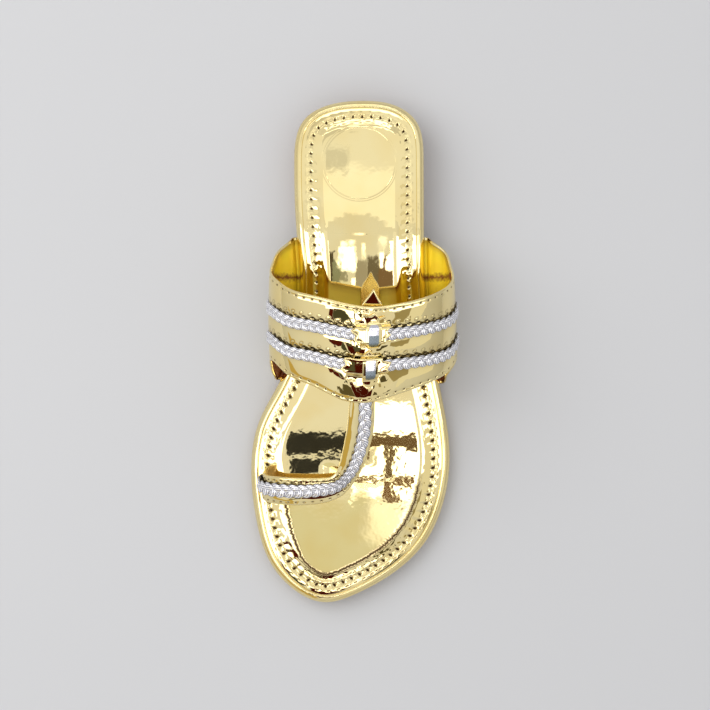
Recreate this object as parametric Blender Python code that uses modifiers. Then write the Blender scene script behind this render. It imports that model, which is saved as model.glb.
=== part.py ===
"""A gold toe-loop chappal for the left foot, in metres.

+Z is up, the heel points to +Y, the toe to -Y, and the outer side of the foot is +X. The tables are in
millimetres, in the pattern's own frame, whose origin ORIGIN moves to the middle of the shoe's footprint.
"""

import math

import bpy
import numpy as np

MM = 0.001
GAP = 0.3  # what touching pieces keep between them
ORIGIN = (2.5, -0.4)  # the footprint's middle, in the pattern's frame

# Sole, from the ground up.
OUTLINE = (  # place on the edge, x, y
    ("heel back", 6.0, 124.7),
    ("heel back outer", 20.7, 123.0),
    ("heel corner outer", 32.4, 115.3),
    ("heel outer", 36.7, 94.0),
    ("heel breast outer", 36.8, 66.0),
    ("waist outer", 37.3, 36.0),
    ("shank outer", 40.8, 4.0),
    ("joint outer", 46.9, -27.0),
    ("ball outer", 50.0, -53.0),
    ("small toe", 46.6, -76.5),
    ("toes outer", 38.5, -94.5),
    ("toes", 21.5, -111.2),
    ("toe tip outer", 4.0, -121.0),
    ("toe tip", -13.5, -125.5),
    ("toe tip inner", -28.8, -118.7),
    ("great toe", -40.4, -105.0),
    ("great toe inner", -47.1, -84.0),
    ("ball inner", -49.6, -60.5),
    ("joint inner", -45.6, -35.0),
    ("shank inner", -35.0, -14.5),
    ("waist inner front", -26.9, 10.0),
    ("waist inner", -24.9, 34.0),
    ("heel breast inner", -26.8, 62.0),
    ("heel inner", -27.8, 92.0),
    ("heel corner inner", -22.8, 115.3),
    ("heel back inner", -9.6, 122.9),
)
OUTLINE_STEPS = 80
END_CROWDING = 0.4  # how far the outline's steps crowd towards heel and toe
HEEL_LIFT = 10.8
HEEL_FRONT_Y = 62.0  # the breast of the heel, where the sole starts to fall
SLOPE_END_Y = -15.0
SPRING_START_Y = -76.0
TOE_SPRING = 2.4
TOE_Y = -125.5
OUTSOLE = ((1.9, 0.0), (1.2, 0.7), (1.2, 3.0))  # inset from the edge, height over the sole's underside
MIDSOLE = (
    (1.7, 3.3),
    (0.5, 4.4),
    (0.0, 6.2),
    (0.5, 8.0),
    (1.7, 9.3),
    (2.9, 9.6),
    (3.8, 9.3),
    (4.0, 8.3),
)
INSOLE = ((4.4, 8.6), (4.4, 9.8), (5.0, 10.2), (8.7, 9.9), (11.0, 11.2), (13.0, 11.7))
HEEL_INSETS = (2.2, 1.4)  # at the ground and under the outsole
HEEL_STEPS = 36
BREAST_STEPS = 8
BREAST_HOLLOW = 3.0

# Upper.
WALL = 2.0
BAND_FEET = (  # row, out from the sole's edge, height over the sole's underside, y inner/outer at back, at front
    ("tuck", -8.0, 3.4, 57.0, 57.0, -14.2, -16.2),
    ("edge", -0.4, 3.4, 57.0, 57.0, -14.2, -16.2),
    ("turn", 2.7, 4.4, 56.6, 56.6, -14.0, -15.8),
    ("rise", 4.1, 8.2, 55.2, 55.2, -13.0, -14.4),
)
BAND = (  # row, then x, y, z of the back edge and x, y, z of the front edge, all on the outer face
    ("flare inner", -35.3, 50.6, 24.2, -39.2, -10.6, 14.6),
    ("swell inner", -38.2, 44.8, 31.2, -39.6, -7.0, 23.2),
    ("side inner", -39.2, 39.0, 38.6, -39.4, -4.2, 32.0),
    ("shoulder inner", -35.8, 34.6, 47.8, -36.2, -6.4, 39.4),
    ("haunch inner", -29.6, 30.3, 54.0, -30.0, -11.9, 45.0),
    ("quarter inner", -18.0, 26.8, 60.1, -18.0, -17.0, 50.5),
    ("crown inner", -4.0, 23.4, 63.4, -4.5, -23.4, 53.4),
    ("ridge", 9.0, 21.3, 64.0, 7.5, -25.0, 54.0),
    ("crown outer", 21.5, 22.4, 62.2, 19.5, -22.2, 52.9),
    ("quarter outer", 34.0, 25.2, 58.0, 31.5, -18.2, 49.9),
    ("haunch outer", 44.3, 29.4, 51.0, 42.8, -13.6, 44.5),
    ("shoulder outer", 49.5, 33.4, 44.0, 49.6, -8.6, 38.4),
    ("side outer", 50.8, 38.2, 36.6, 52.6, -3.0, 31.0),
    ("swell outer", 49.6, 43.9, 30.0, 52.2, -6.4, 22.6),
    ("flare outer", 46.8, 50.4, 23.6, 49.0, -11.8, 14.2),
)
FOOT_PULL = (1.0, 1.0, 1.0, 1.0, 0.5)  # how closely the lowest rows follow the sole's edge between the two edges
BAND_CROWN = 0.012  # of the width
BAND_ALONG, BAND_ACROSS = 2, 6  # steps for each row, and from the back edge to the front edge
STRAP = (  # row, then x, y, z of the inner or back edge and x, y, z of the outer or front edge, on the outer face
    ("tail tip", 11.4, 29.4, 63.5, 12.5, 29.4, 63.5),
    ("tail root", 5.8, 21.8, 62.4, 15.4, 21.8, 62.3),
    ("under back", 5.2, 15.0, 61.6, 15.6, 15.0, 61.4),
    ("under middle", 2.5, -1.8, 58.3, 13.6, -1.8, 58.2),
    ("under front", 0.2, -20.6, 53.8, 12.3, -20.6, 53.7),
    ("exit", -0.5, -28.0, 51.0, 12.1, -27.6, 51.0),
    ("fall", -1.4, -37.0, 46.2, 11.7, -37.0, 46.2),
    ("instep", -2.9, -45.6, 41.9, 9.7, -47.0, 41.4),
    ("cleft", -4.6, -53.0, 38.0, 6.2, -57.2, 37.2),
    ("bend", -6.4, -58.4, 35.6, 1.6, -65.0, 34.2),
    ("turned", -9.2, -61.4, 34.6, -3.4, -70.8, 32.2),
    ("toe outer", -14.5, -62.2, 34.6, -10.6, -74.2, 31.4),
    ("toe top", -24.0, -62.2, 34.8, -24.0, -75.8, 31.0),
    ("toe inner", -32.6, -61.7, 33.4, -32.6, -74.8, 29.6),
    ("loop shoulder", -38.8, -60.6, 29.0, -39.0, -73.0, 25.6),
    ("loop side", -42.3, -58.6, 22.0, -43.0, -70.6, 19.6),
    ("loop waist", -41.8, -57.2, 16.0, -42.2, -68.8, 14.6),
    ("loop foot", -39.6, -56.6, 12.2, -39.8, -68.0, 11.4),
    ("loop slot", -38.4, -56.5, 9.4, -38.4, -67.8, 9.0),
    ("loop end", -38.3, -56.5, 5.8, -38.3, -67.8, 5.8),
)
POST = (  # the short leg between the toes, on its inner face
    ("post top", -5.8, -60.4, 33.6, -4.0, -66.6, 32.4),
    ("post neck", -6.4, -59.0, 29.0, -5.6, -67.2, 28.2),
    ("post middle", -7.2, -58.2, 24.0, -6.9, -67.6, 23.6),
    ("post waist", -9.0, -57.5, 17.0, -8.8, -67.8, 16.6),
    ("post foot", -10.1, -57.2, 12.4, -10.0, -67.8, 12.2),
    ("post slot", -10.3, -57.2, 9.4, -10.3, -67.8, 9.4),
    ("post end", -10.3, -57.2, 5.8, -10.3, -67.8, 5.8),
)
STRAP_CROWN = 0.06  # of the width
STRAP_ALONG, STRAP_ACROSS = 2, 3
BAND_LENGTH = 71.0  # the length of each of the band's feet along the sole
LEG_WIDTH = 11.0  # of the loop's foot and of the post
EAR_OPENING = 0.7  # how far the midsole's pocket for a foot runs out under the foot

# Trim.
BRAID_WIDTH = 6.3
BRAID_DEPTH = 1.6
BRAID_CROWN = 0.5
BRAID_LINES = (  # name, then the share of the band's width from the back edge at inner foot, side, middle, side, foot
    ("braid_back", 0.42, 0.40, 0.285, 0.42, 0.44),
    ("braid_front", 0.68, 0.735, 0.605, 0.78, 0.71),
)
TOE_BRAID = (  # row of STRAP where it is, then the shares of the strap's width at the braid's two edges
    ("exit", 0.36, 0.90),
    ("instep", 0.39, 0.91),
    ("bend", 0.29, 0.83),
    ("turned", 0.20, 0.74),
    ("toe top", 0.18, 0.69),
    ("loop side", 0.19, 0.71),
    ("loop waist", 0.22, 0.70),
)
ROSETTES = (  # name, x along the band from its ridge, share of the band's width, radius along, radius across
    ("back", 1.6, 0.245, 9.4, 8.6),
    ("front", -0.6, 0.65, 11.0, 9.9),
)
TIES = (  # name, x along the band from its ridge, how far towards the toe from the middle of the braid
    ("back", 2.6, 0.0),
    ("front", 0.7, 1.0),
)
ROSETTE_POINTS = 11
ROSETTE_NOTCH = 0.13  # the depth of a notch, as a share of the radius
ROSETTE_RINGS = 4
ROSETTE_WALL = 0.8
RIDGE_TOP, RIDGE_FOOT = 3.6, 5.6  # half widths of the ridge that a rosette makes over its braid
TIE_WIDTH, TIE_LENGTH, TIE_WALL = 6.0, 12.6, 1.0
TIE_BRIDGE = 0.78  # how much sooner the rosette falls away from the braid than the tie does

MATERIALS = {  # colour, metallic, roughness
    "gold foil": ((0.80, 0.62, 0.24, 1.0), 1.0, 0.12),
    "silver braid": ((0.72, 0.72, 0.76, 1.0), 0.9, 0.35),
    "tan rubber": ((0.23, 0.13, 0.06, 1.0), 0.0, 0.65),
}


# ---- Curves -------------------------------------------------------------------------------------------------


def cubic_spline(knots, rows, closed=False):
    """A function that reads the smooth curve through these rows at these knots. A closed curve has one more knot."""
    knots, rows = np.asarray(knots, float), np.asarray(rows, float)
    if closed:
        rows = np.vstack([rows, rows[:1]])
    count, gaps = len(knots), np.diff(knots)
    slopes = np.diff(rows, axis=0) / gaps[:, None]
    system, wanted = np.eye(count), np.zeros_like(rows)
    for i in range(1, count - 1):
        system[i, i - 1 : i + 2] = gaps[i - 1], 2 * (gaps[i - 1] + gaps[i]), gaps[i]
        wanted[i] = 6 * (slopes[i] - slopes[i - 1])
    if closed:
        system[0, :2] = 2 * (gaps[-1] + gaps[0]), gaps[0]
        system[0, -2] = gaps[-1]
        wanted[0] = 6 * (slopes[0] - slopes[-1])
        system[-1, 0], system[-1, -1] = -1, 1
    bends = np.linalg.solve(system, wanted)

    def read(where):
        where = np.asarray(where, float)
        i = np.clip(np.searchsorted(knots, where, side="right") - 1, 0, count - 2)
        gap = gaps[i]
        b = (where - knots[i]) / gap
        a = 1 - b
        cubic = ((a**3 - a) * gap**2 / 6)[..., None] * bends[i] + ((b**3 - b) * gap**2 / 6)[..., None] * bends[i + 1]
        return a[..., None] * rows[i] + b[..., None] * rows[i + 1] + cubic

    return read


def chord_knots(rows):
    """How far along its own chords each of these rows is, from 0."""
    return np.concatenate([[0], np.cumsum(np.linalg.norm(np.diff(rows, axis=0), axis=1))])


# ---- The sole's outline and height --------------------------------------------------------------------------

EDGE = np.array([row[1:] for row in OUTLINE])
EDGE_KNOTS = chord_knots(np.vstack([EDGE, EDGE[:1]]))
EDGE_CURVE = cubic_spline(EDGE_KNOTS, EDGE, closed=True)
TIP_KNOT = EDGE_KNOTS[[row[0] for row in OUTLINE].index("toe tip")]


def edge_points(where, inset):
    """Points at this inset inside the sole's edge, at these distances along it."""
    step = 0.01
    ahead = EDGE_CURVE(where + step) - EDGE_CURVE(where - step)
    ahead /= np.linalg.norm(ahead, axis=-1, keepdims=True)
    inward = np.stack([ahead[..., 1], -ahead[..., 0]], axis=-1)
    return EDGE_CURVE(where) + inset * inward


def edge_steps():
    """Distances along the edge: down the outer side from heel to toe tip, then back up the inner side."""
    even = np.linspace(0, 1, OUTLINE_STEPS // 2 + 1)
    share = (1 - END_CROWDING) * even + END_CROWDING * (1 - np.cos(math.pi * even)) / 2
    outer = TIP_KNOT * share
    inner = TIP_KNOT + (EDGE_KNOTS[-1] - TIP_KNOT) * share
    return np.concatenate([outer, inner[1:-1]])


def edge_x(y, side):
    """The x of the sole's edge at y: side is 1 for the outer edge and -1 for the inner."""
    start, end = (0, TIP_KNOT) if side > 0 else (EDGE_KNOTS[-1], TIP_KNOT)
    points = EDGE_CURVE(np.linspace(start, end, 400))
    return np.interp(-np.asarray(y, float), -points[:, 1], points[:, 0])


def underside(y):
    """The height of the sole's underside: flat on the heel, down the waist, flat at the ball, then the toe spring."""
    along = np.clip((y - SLOPE_END_Y) / (HEEL_FRONT_Y - SLOPE_END_Y), 0, 1)
    toe = np.clip((SPRING_START_Y - y) / (SPRING_START_Y - TOE_Y), 0, 1)
    return HEEL_LIFT * (1 - np.cos(math.pi * along)) / 2 + TOE_SPRING * toe**2


# ---- Mesh helpers -------------------------------------------------------------------------------------------


def material(name):
    colour, metallic, roughness = MATERIALS[name]
    made = bpy.data.materials.get(name) or bpy.data.materials.new(name)
    made.use_nodes = True
    made.diffuse_color = colour
    shader = made.node_tree.nodes["Principled BSDF"]
    shader.inputs["Base Color"].default_value = colour
    shader.inputs["Metallic"].default_value = metallic
    shader.inputs["Roughness"].default_value = roughness
    return made


def add_mesh(name, points, faces, collection, finish):
    """A mesh object of these points, given in the pattern's millimetres."""
    points = (np.asarray(points, float).reshape(-1, 3) - (*ORIGIN, 0)) * MM
    mesh = bpy.data.meshes.new(name)
    mesh.from_pydata(points.tolist(), [], faces)
    mesh.materials.append(material(finish))
    mesh.shade_smooth()
    mesh.set_sharp_from_angle(angle=math.radians(40))
    made = bpy.data.objects.new(name, mesh)
    collection.objects.link(made)
    return made


def hide(helper):
    helper.hide_render = True
    helper.display_type = "WIRE"


def solidify(piece, wall):
    """Gives an open surface its wall, on the inner side."""
    made = piece.modifiers.new("wall", "SOLIDIFY")
    made.thickness = wall * MM
    made.offset = -1
    made.use_even_offset = True


def combine(piece, helper, operation):
    made = piece.modifiers.new(f"{operation.lower()} {helper.name}", "BOOLEAN")
    made.operation = operation
    made.solver = "EXACT"
    made.object = helper


def grid_faces(rows, columns, flip=False):
    """Quads of a grid, facing the way that rows turn towards columns."""
    faces = []
    for i in range(rows - 1):
        for j in range(columns - 1):
            a = i * columns + j
            quad = (a, a + columns, a + columns + 1, a + 1)
            faces.append(quad[::-1] if flip else quad)
    return faces


def ring_walls(rings, count):
    """Quads between rings that run clockwise from above, each ring over or inside the one before."""
    faces = []
    for ring in range(rings - 1):
        for i in range(count):
            low, low_next = ring * count + i, ring * count + (i + 1) % count
            faces.append((low, low + count, low_next + count, low_next))
    return faces


def ring_cap(start, count, facing_up):
    """Rungs across a ring, each from one side of the shoe to the other."""
    faces = []
    for k in range(count // 2):
        rung = [k, (count - k) % count, count - k - 1, k + 1]
        rung = [start + i for i in dict.fromkeys(rung)]
        faces.append(rung if facing_up else rung[::-1])
    return faces


def sole_layer(name, rings, collection, finish):
    """A layer of the sole through rings of (inset, height over the underside), bottom first."""
    steps = edge_steps()
    points = []
    for inset, height in rings:
        flat = edge_points(steps, inset)
        points.append(np.column_stack([flat, underside(flat[:, 1]) + height]))
    count = len(steps)
    faces = ring_walls(len(rings), count)
    faces += ring_cap(0, count, facing_up=False)
    faces += ring_cap((len(rings) - 1) * count, count, facing_up=True)
    return add_mesh(name, points, faces, collection, finish)


# ---- Strips of leather between two edges --------------------------------------------------------------------


class Strip:
    """A strip between two edge curves. It is read by the distance along it and the share of its width."""

    def __init__(self, names, edge_a, edge_b, crown, facing=1):
        knots = (chord_knots(edge_a) + chord_knots(edge_b)) / 2
        self.knot = dict(zip(names, knots))
        self.knots = knots
        self.crown = crown
        self.facing = facing
        self.edge_a = cubic_spline(knots, edge_a)
        self.edge_b = cubic_spline(knots, edge_b)

    def pull(self, along, across, points):
        """Where a kind of strip moves its own points. A plain strip leaves them."""
        return points

    def width(self, along):
        return np.linalg.norm(self.edge_b(along) - self.edge_a(along), axis=-1)

    def rise(self, along, across):
        """The height of the crown, a share of the width."""
        inside = np.clip(across, 0, 1)
        return self.crown * self.width(along) * 4 * inside * (1 - inside)

    def flat(self, along, across):
        """The strip without its crown."""
        share = across[..., None]
        points = (1 - share) * self.edge_a(along) + share * self.edge_b(along)
        return self.pull(along, across, points)

    def normal(self, along, across):
        near, far = 0.05, 0.002
        run = self.flat(along + near, across) - self.flat(along - near, across)
        over = self.flat(along, across + far) - self.flat(along, across - far)
        out = np.cross(run, over) * self.facing
        return out / np.linalg.norm(out, axis=-1, keepdims=True)

    def at(self, along, across, lift=0.0):
        """Points of the outer face, or as far over it as lift says."""
        along, across = np.broadcast_arrays(np.asarray(along, float), np.asarray(across, float))
        rise = self.rise(along, across) + lift
        return self.flat(along, across) + rise[..., None] * self.normal(along, across)

    def rows_between(self, first, last, steps):
        """Distances along the strip from one named row to another, with this many steps for each row."""
        inside = self.knots[(self.knots >= self.knot[first]) & (self.knots <= self.knot[last])]
        parts = [np.linspace(a, b, steps, endpoint=False) for a, b in zip(inside[:-1], inside[1:])]
        return np.concatenate([*parts, inside[-1:]])


class Band(Strip):
    """The instep band, whose two feet follow the edge of the sole."""

    def __init__(self):
        names, back, front = [], [], []
        for side, feet in ((-1, BAND_FEET), (1, BAND_FEET[::-1])):
            for row, out, height, back_inner, back_outer, front_inner, front_outer in feet:
                name = f"{row} {'inner' if side < 0 else 'outer'}"
                ends = (back_inner, front_inner) if side < 0 else (back_outer, front_outer)
                for y, edge in zip(ends, (back, front)):
                    edge.append((float(edge_x(y, side)) + side * out, y, float(underside(y)) + height))
                names.append(name)
            if side < 0:
                names += [row[0] for row in BAND]
                back += [row[1:4] for row in BAND]
                front += [row[4:7] for row in BAND]
        super().__init__(names, np.array(back), np.array(front), BAND_CROWN, facing=-1)
        pulls = np.zeros(len(names))
        pulls[: len(FOOT_PULL)] = FOOT_PULL
        pulls[-len(FOOT_PULL) :] = FOOT_PULL[::-1]
        self.pulls = pulls

    def rise(self, along, across):
        return super().rise(along, across) * (1 - np.interp(along, self.knots, self.pulls))

    def pull(self, along, across, points):
        """Moves the feet from the straight line between the two edges to the sole's own edge and height."""
        how_much = np.interp(along, self.knots, self.pulls)
        back, front = self.edge_a(along), self.edge_b(along)
        middle = self.knot["ridge"]
        for side in (-1, 1):
            ours = how_much * ((along > middle) if side > 0 else (along <= middle))
            for axis, follow in ((0, lambda y, s=side: edge_x(y, s)), (2, underside)):
                start, end = follow(back[..., 1]), follow(front[..., 1])
                wanted = follow(points[..., 1])
                points[..., axis] += ours * (wanted - (1 - across) * start - across * end)
        return points


def strip_grid(strip, along, across, lift=0.0):
    """Points and faces of an open piece of a strip."""
    points = strip.at(along[:, None], across[None, :], lift)
    return points, grid_faces(len(along), len(across), flip=strip.facing < 0)


def strip_of(rows, crown):
    edges = np.array([row[1:] for row in rows], float)
    return Strip([row[0] for row in rows], edges[:, :3], edges[:, 3:], crown)


# ---- Pieces -------------------------------------------------------------------------------------------------


def build_heel(parts):
    """A low block under the back of the sole, with a hollow breast."""
    fine = np.linspace(0, EDGE_KNOTS[-1], 2000)
    behind = EDGE_CURVE(fine)[:, 1] > HEEL_FRONT_Y + HEEL_INSETS[0]
    outer_end = fine[np.argmin(behind)]
    inner_start = fine[len(fine) - np.argmin(behind[::-1])] - EDGE_KNOTS[-1]
    points = []
    for inset, height in zip(HEEL_INSETS, (0.0, HEEL_LIFT - GAP)):
        where = np.linspace(inner_start, outer_end, HEEL_STEPS)
        around = edge_points(np.mod(where, EDGE_KNOTS[-1]), inset)
        share = np.linspace(0, 1, BREAST_STEPS + 2)[1:-1, None]
        breast = (1 - share) * around[-1] + share * around[0]
        breast[:, 1] += BREAST_HOLLOW * np.sin(math.pi * share[:, 0])
        loop = np.vstack([around, breast])
        points.append(np.column_stack([loop, np.full(len(loop), height)]))
    count = len(points[0])
    faces = ring_walls(2, count)
    faces.append(list(range(count)))
    faces.append(list(range(2 * count - 1, count - 1, -1)))
    return add_mesh("heel", points, faces, parts, "tan rubber")


def build_upper(parts, helpers, band, strap, post):
    """The band, the toe strap with its tail and loop, and the post between the toes, joined into one."""
    along = band.rows_between("tuck inner", "tuck outer", BAND_ALONG)
    points, faces = strip_grid(band, along, np.linspace(0, 1, BAND_ACROSS + 1))
    upper = add_mesh("upper", points, faces, parts, "gold foil")
    solidify(upper, WALL)
    for name, strip, first, last in (
        ("toe strap", strap, "tail tip", "loop end"),
        ("toe post", post, "post top", "post end"),
    ):
        along = strip.rows_between(first, last, STRAP_ALONG)
        points, faces = strip_grid(strip, along, np.linspace(0, 1, STRAP_ACROSS + 1))
        helper = add_mesh(name, points, faces, helpers, "gold foil")
        solidify(helper, WALL)
        hide(helper)
        combine(upper, helper, "UNION")
    return upper


def clearance(name, strip, first, last, steps, width, helpers, outer_gap=GAP):
    """A cutter that is a piece of a strip, in its (along, across) steps, with a gap all round it."""
    along = strip.rows_between(first, last, steps[0])
    along[0] -= GAP
    along[-1] += GAP
    margin = GAP / width
    across = np.concatenate([[-margin], np.linspace(0, 1, steps[1] + 1)[1:-1], [1 + margin]])
    points, faces = strip_grid(strip, along, across, lift=outer_gap)
    cutter = add_mesh(name, points, faces, helpers, "gold foil")
    solidify(cutter, WALL + GAP + outer_gap)
    hide(cutter)
    return cutter


def build_braid(name, shares, band, parts):
    """A braid round the band, a flat crowned strip that stands on its outer face."""
    ends = ("rise inner", "side inner", "ridge", "side outer", "rise outer")
    line = cubic_spline([band.knot[row] for row in ends], np.array(shares)[:, None])
    along = band.rows_between(ends[0], ends[-1], BAND_ALONG)
    middle = line(along)[:, 0]
    width = band.width(along)
    across = middle[:, None] + np.linspace(-0.5, 0.5, 5) * BRAID_WIDTH / width[:, None]
    lift = GAP + BRAID_DEPTH - BRAID_CROWN * np.linspace(-1, 1, 5) ** 2
    points = band.at(along[:, None], across, lift[None, :])
    braid = add_mesh(name, points, grid_faces(len(along), 5, flip=True), parts, "silver braid")
    solidify(braid, BRAID_DEPTH - BRAID_CROWN)
    return braid


def build_toe_braid(strap, parts):
    """The wider braid down the toe strap and over the loop."""
    knots = [strap.knot[row[0]] for row in TOE_BRAID]
    edges = cubic_spline(knots, [row[1:] for row in TOE_BRAID])
    along = strap.rows_between("exit", "loop waist", STRAP_ALONG)
    shares = edges(along)
    fan = np.linspace(0, 1, 5)
    across = (1 - fan) * shares[:, :1] + fan * shares[:, 1:]
    lift = GAP + BRAID_DEPTH - BRAID_CROWN * np.linspace(-1, 1, 5) ** 2
    points = strap.at(along[:, None], across, lift[None, :])
    braid = add_mesh("braid_toe", points, grid_faces(len(along), 5), parts, "silver braid")
    solidify(braid, BRAID_DEPTH - BRAID_CROWN)
    return braid


def on_band(band, centre, share, right, forward, lift):
    """Points this many mm to the outer side and to the toe of a place on the band."""
    return band.at(centre + right, share + forward / band.width(centre), lift)


def ridge_height(forward):
    """How far a rosette rises over its braid, at these distances across the braid."""
    share = np.clip((np.abs(forward) - RIDGE_TOP) / (RIDGE_FOOT - RIDGE_TOP), 0, 1)
    return GAP + (BRAID_DEPTH + GAP) * (1 + np.cos(math.pi * share)) / 2


def build_rosette(name, offset, share, radius, deep, braid_share, band, parts):
    """A pinked patch that lies on the band and makes a ridge over the braid."""
    turns = 2 * ROSETTE_POINTS
    angle = np.arange(turns) * 2 * math.pi / turns
    notch = 1 - ROSETTE_NOTCH * (np.arange(turns) % 2)
    centre = band.knot["ridge"] + offset
    to_braid = (braid_share - share) * band.width(centre)
    rings = np.linspace(0, 1, ROSETTE_RINGS + 1)[1:, None]
    reach = rings * (1 - rings**3 * (1 - notch))
    right = np.append(0, reach * radius * np.cos(angle))
    forward = np.append(0, reach * deep * np.sin(angle))
    lift = ridge_height(forward - to_braid) + ROSETTE_WALL
    points = on_band(band, centre, share, right, forward, lift)
    faces = [(0, 1 + (i + 1) % turns, 1 + i) for i in range(turns)]
    for ring in range(ROSETTE_RINGS - 1):
        for i in range(turns):
            near, near_next = 1 + ring * turns + i, 1 + ring * turns + (i + 1) % turns
            faces.append((near, near_next, near_next + turns, near + turns))
    rosette = add_mesh(f"rosette_{name}", points, faces, parts, "gold foil")
    solidify(rosette, ROSETTE_WALL)
    return rosette


def build_tie(name, offset, ahead, braid_share, band, parts):
    """A tongue across the ridge that holds the rosette and its braid down."""
    forward = np.linspace(-0.5, 0.5, 13) * TIE_LENGTH
    end = np.clip((np.abs(forward) - TIE_LENGTH / 2 + TIE_WIDTH / 2) / (TIE_WIDTH / 2), 0, 0.94)
    half = TIE_WIDTH / 2 * np.sqrt(1 - end**2)
    right = half[:, None] * np.linspace(-1, 1, 5)
    forward += ahead
    lift = ridge_height(forward * TIE_BRIDGE) + ROSETTE_WALL + GAP + TIE_WALL
    centre = band.knot["ridge"] + offset
    points = on_band(band, centre, braid_share, right, forward[:, None], lift[:, None])
    tie = add_mesh(f"tie_{name}", points, grid_faces(13, 5), parts, "silver braid")
    solidify(tie, TIE_WALL)
    return tie


def main():
    for old in list(bpy.data.objects):
        bpy.data.objects.remove(old, do_unlink=True)
    parts = bpy.data.collections.new("chappal")
    helpers = bpy.data.collections.new("helpers")
    bpy.context.scene.collection.children.link(parts)
    bpy.context.scene.collection.children.link(helpers)

    band = Band()
    strap = strip_of(STRAP, STRAP_CROWN)
    post = strip_of(POST, 0.0)

    sole_layer("outsole", OUTSOLE, parts, "tan rubber")
    build_heel(parts)
    midsole = sole_layer("midsole", MIDSOLE, parts, "gold foil")
    insole = sole_layer("insole", INSOLE, parts, "gold foil")
    build_upper(parts, helpers, band, strap, post)

    band_steps, strap_steps = (BAND_ALONG, BAND_ACROSS), (STRAP_ALONG, STRAP_ACROSS)
    for side, rows in (("inner", ("tuck inner", "rise inner")), ("outer", ("rise outer", "tuck outer"))):
        ear = clearance(f"ear {side}", band, *rows, band_steps, BAND_LENGTH, helpers, EAR_OPENING)
        combine(midsole, ear, "DIFFERENCE")
    loop_slot = clearance("loop slot", strap, "loop waist", "loop end", strap_steps, LEG_WIDTH, helpers)
    post_slot = clearance("post slot", post, "post waist", "post end", strap_steps, LEG_WIDTH, helpers)
    for layer in (midsole, insole):
        combine(layer, loop_slot, "DIFFERENCE")
        combine(layer, post_slot, "DIFFERENCE")

    middles = {}
    for name, *shares in BRAID_LINES:
        build_braid(name, shares, band, parts)
        middles[name.removeprefix("braid_")] = shares[2]
    build_toe_braid(strap, parts)
    for name, offset, share, radius, deep in ROSETTES:
        build_rosette(name, offset, share, radius, deep, middles[name], band, parts)
    for name, offset, ahead in TIES:
        build_tie(name, offset, ahead, middles[name], band, parts)


main()
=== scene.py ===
"""A gold toe-loop chappal for the left foot, with silver braids, on a pale studio floor.

+Z is up, the heel points to +Y and the outer side of the foot is +X. Shapes are worked out in
millimetres, in the pattern's own frame, whose origin ORIGIN moves to the middle of the shoe's
footprint when a mesh is made.
"""

import logging
import math
from collections.abc import Callable
from dataclasses import dataclass, field
from enum import Enum
from typing import Any

import bpy
import numpy as np
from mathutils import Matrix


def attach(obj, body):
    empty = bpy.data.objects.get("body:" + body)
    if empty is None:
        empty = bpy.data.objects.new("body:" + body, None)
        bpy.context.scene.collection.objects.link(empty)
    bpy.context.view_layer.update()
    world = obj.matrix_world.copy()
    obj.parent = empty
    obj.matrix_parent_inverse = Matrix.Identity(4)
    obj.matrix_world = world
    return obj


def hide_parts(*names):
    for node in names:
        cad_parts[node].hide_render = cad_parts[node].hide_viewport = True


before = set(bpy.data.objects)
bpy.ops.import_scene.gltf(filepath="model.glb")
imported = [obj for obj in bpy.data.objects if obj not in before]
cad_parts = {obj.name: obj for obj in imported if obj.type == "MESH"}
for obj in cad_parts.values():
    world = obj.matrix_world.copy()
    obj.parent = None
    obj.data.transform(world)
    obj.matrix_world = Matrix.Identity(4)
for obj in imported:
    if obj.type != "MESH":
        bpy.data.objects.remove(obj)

logging.basicConfig(level=logging.INFO, format="%(message)s")
LOG = logging.getLogger("chappal")
Array = np.ndarray
Piece = bpy.types.Object
Tree = bpy.types.NodeTree
Source = bpy.types.Node | bpy.types.NodeSocket  # what a node reads. A node stands for its first output
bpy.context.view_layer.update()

MM = 0.001
ORIGIN = (2.5, -0.4, 0.0)  # the footprint's middle, in the pattern's frame
TAU = 2 * math.pi

OUTLINE = (  # place on the sole's edge, x, y
    ("heel back", 6.0, 124.7),
    ("heel back outer", 20.7, 123.0),
    ("heel corner outer", 32.4, 115.3),
    ("heel outer", 36.7, 94.0),
    ("heel breast outer", 36.8, 66.0),
    ("waist outer", 37.3, 36.0),
    ("shank outer", 40.8, 4.0),
    ("joint outer", 46.9, -27.0),
    ("ball outer", 50.0, -53.0),
    ("small toe", 46.6, -76.5),
    ("toes outer", 38.5, -94.5),
    ("toes", 21.5, -111.2),
    ("toe tip outer", 4.0, -121.0),
    ("toe tip", -13.5, -125.5),
    ("toe tip inner", -28.8, -118.7),
    ("great toe", -40.4, -105.0),
    ("great toe inner", -47.1, -84.0),
    ("ball inner", -49.6, -60.5),
    ("joint inner", -45.6, -35.0),
    ("shank inner", -35.0, -14.5),
    ("waist inner front", -26.9, 10.0),
    ("waist inner", -24.9, 34.0),
    ("heel breast inner", -26.8, 62.0),
    ("heel inner", -27.8, 92.0),
    ("heel corner inner", -22.8, 115.3),
    ("heel back inner", -9.6, 122.9),
)
BAND_FEET = (  # row, out from the sole's edge, height over its underside, y inner and outer at back, at front
    ("tuck", -8.0, 3.5, 57.0, 57.0, -14.2, -16.2),
    ("edge", -0.4, 3.5, 57.0, 57.0, -14.2, -16.2),
    ("turn", 2.7, 4.4, 56.6, 56.6, -14.0, -15.8),
    ("rise", 4.1, 8.2, 55.2, 55.2, -13.0, -14.4),
)
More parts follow.
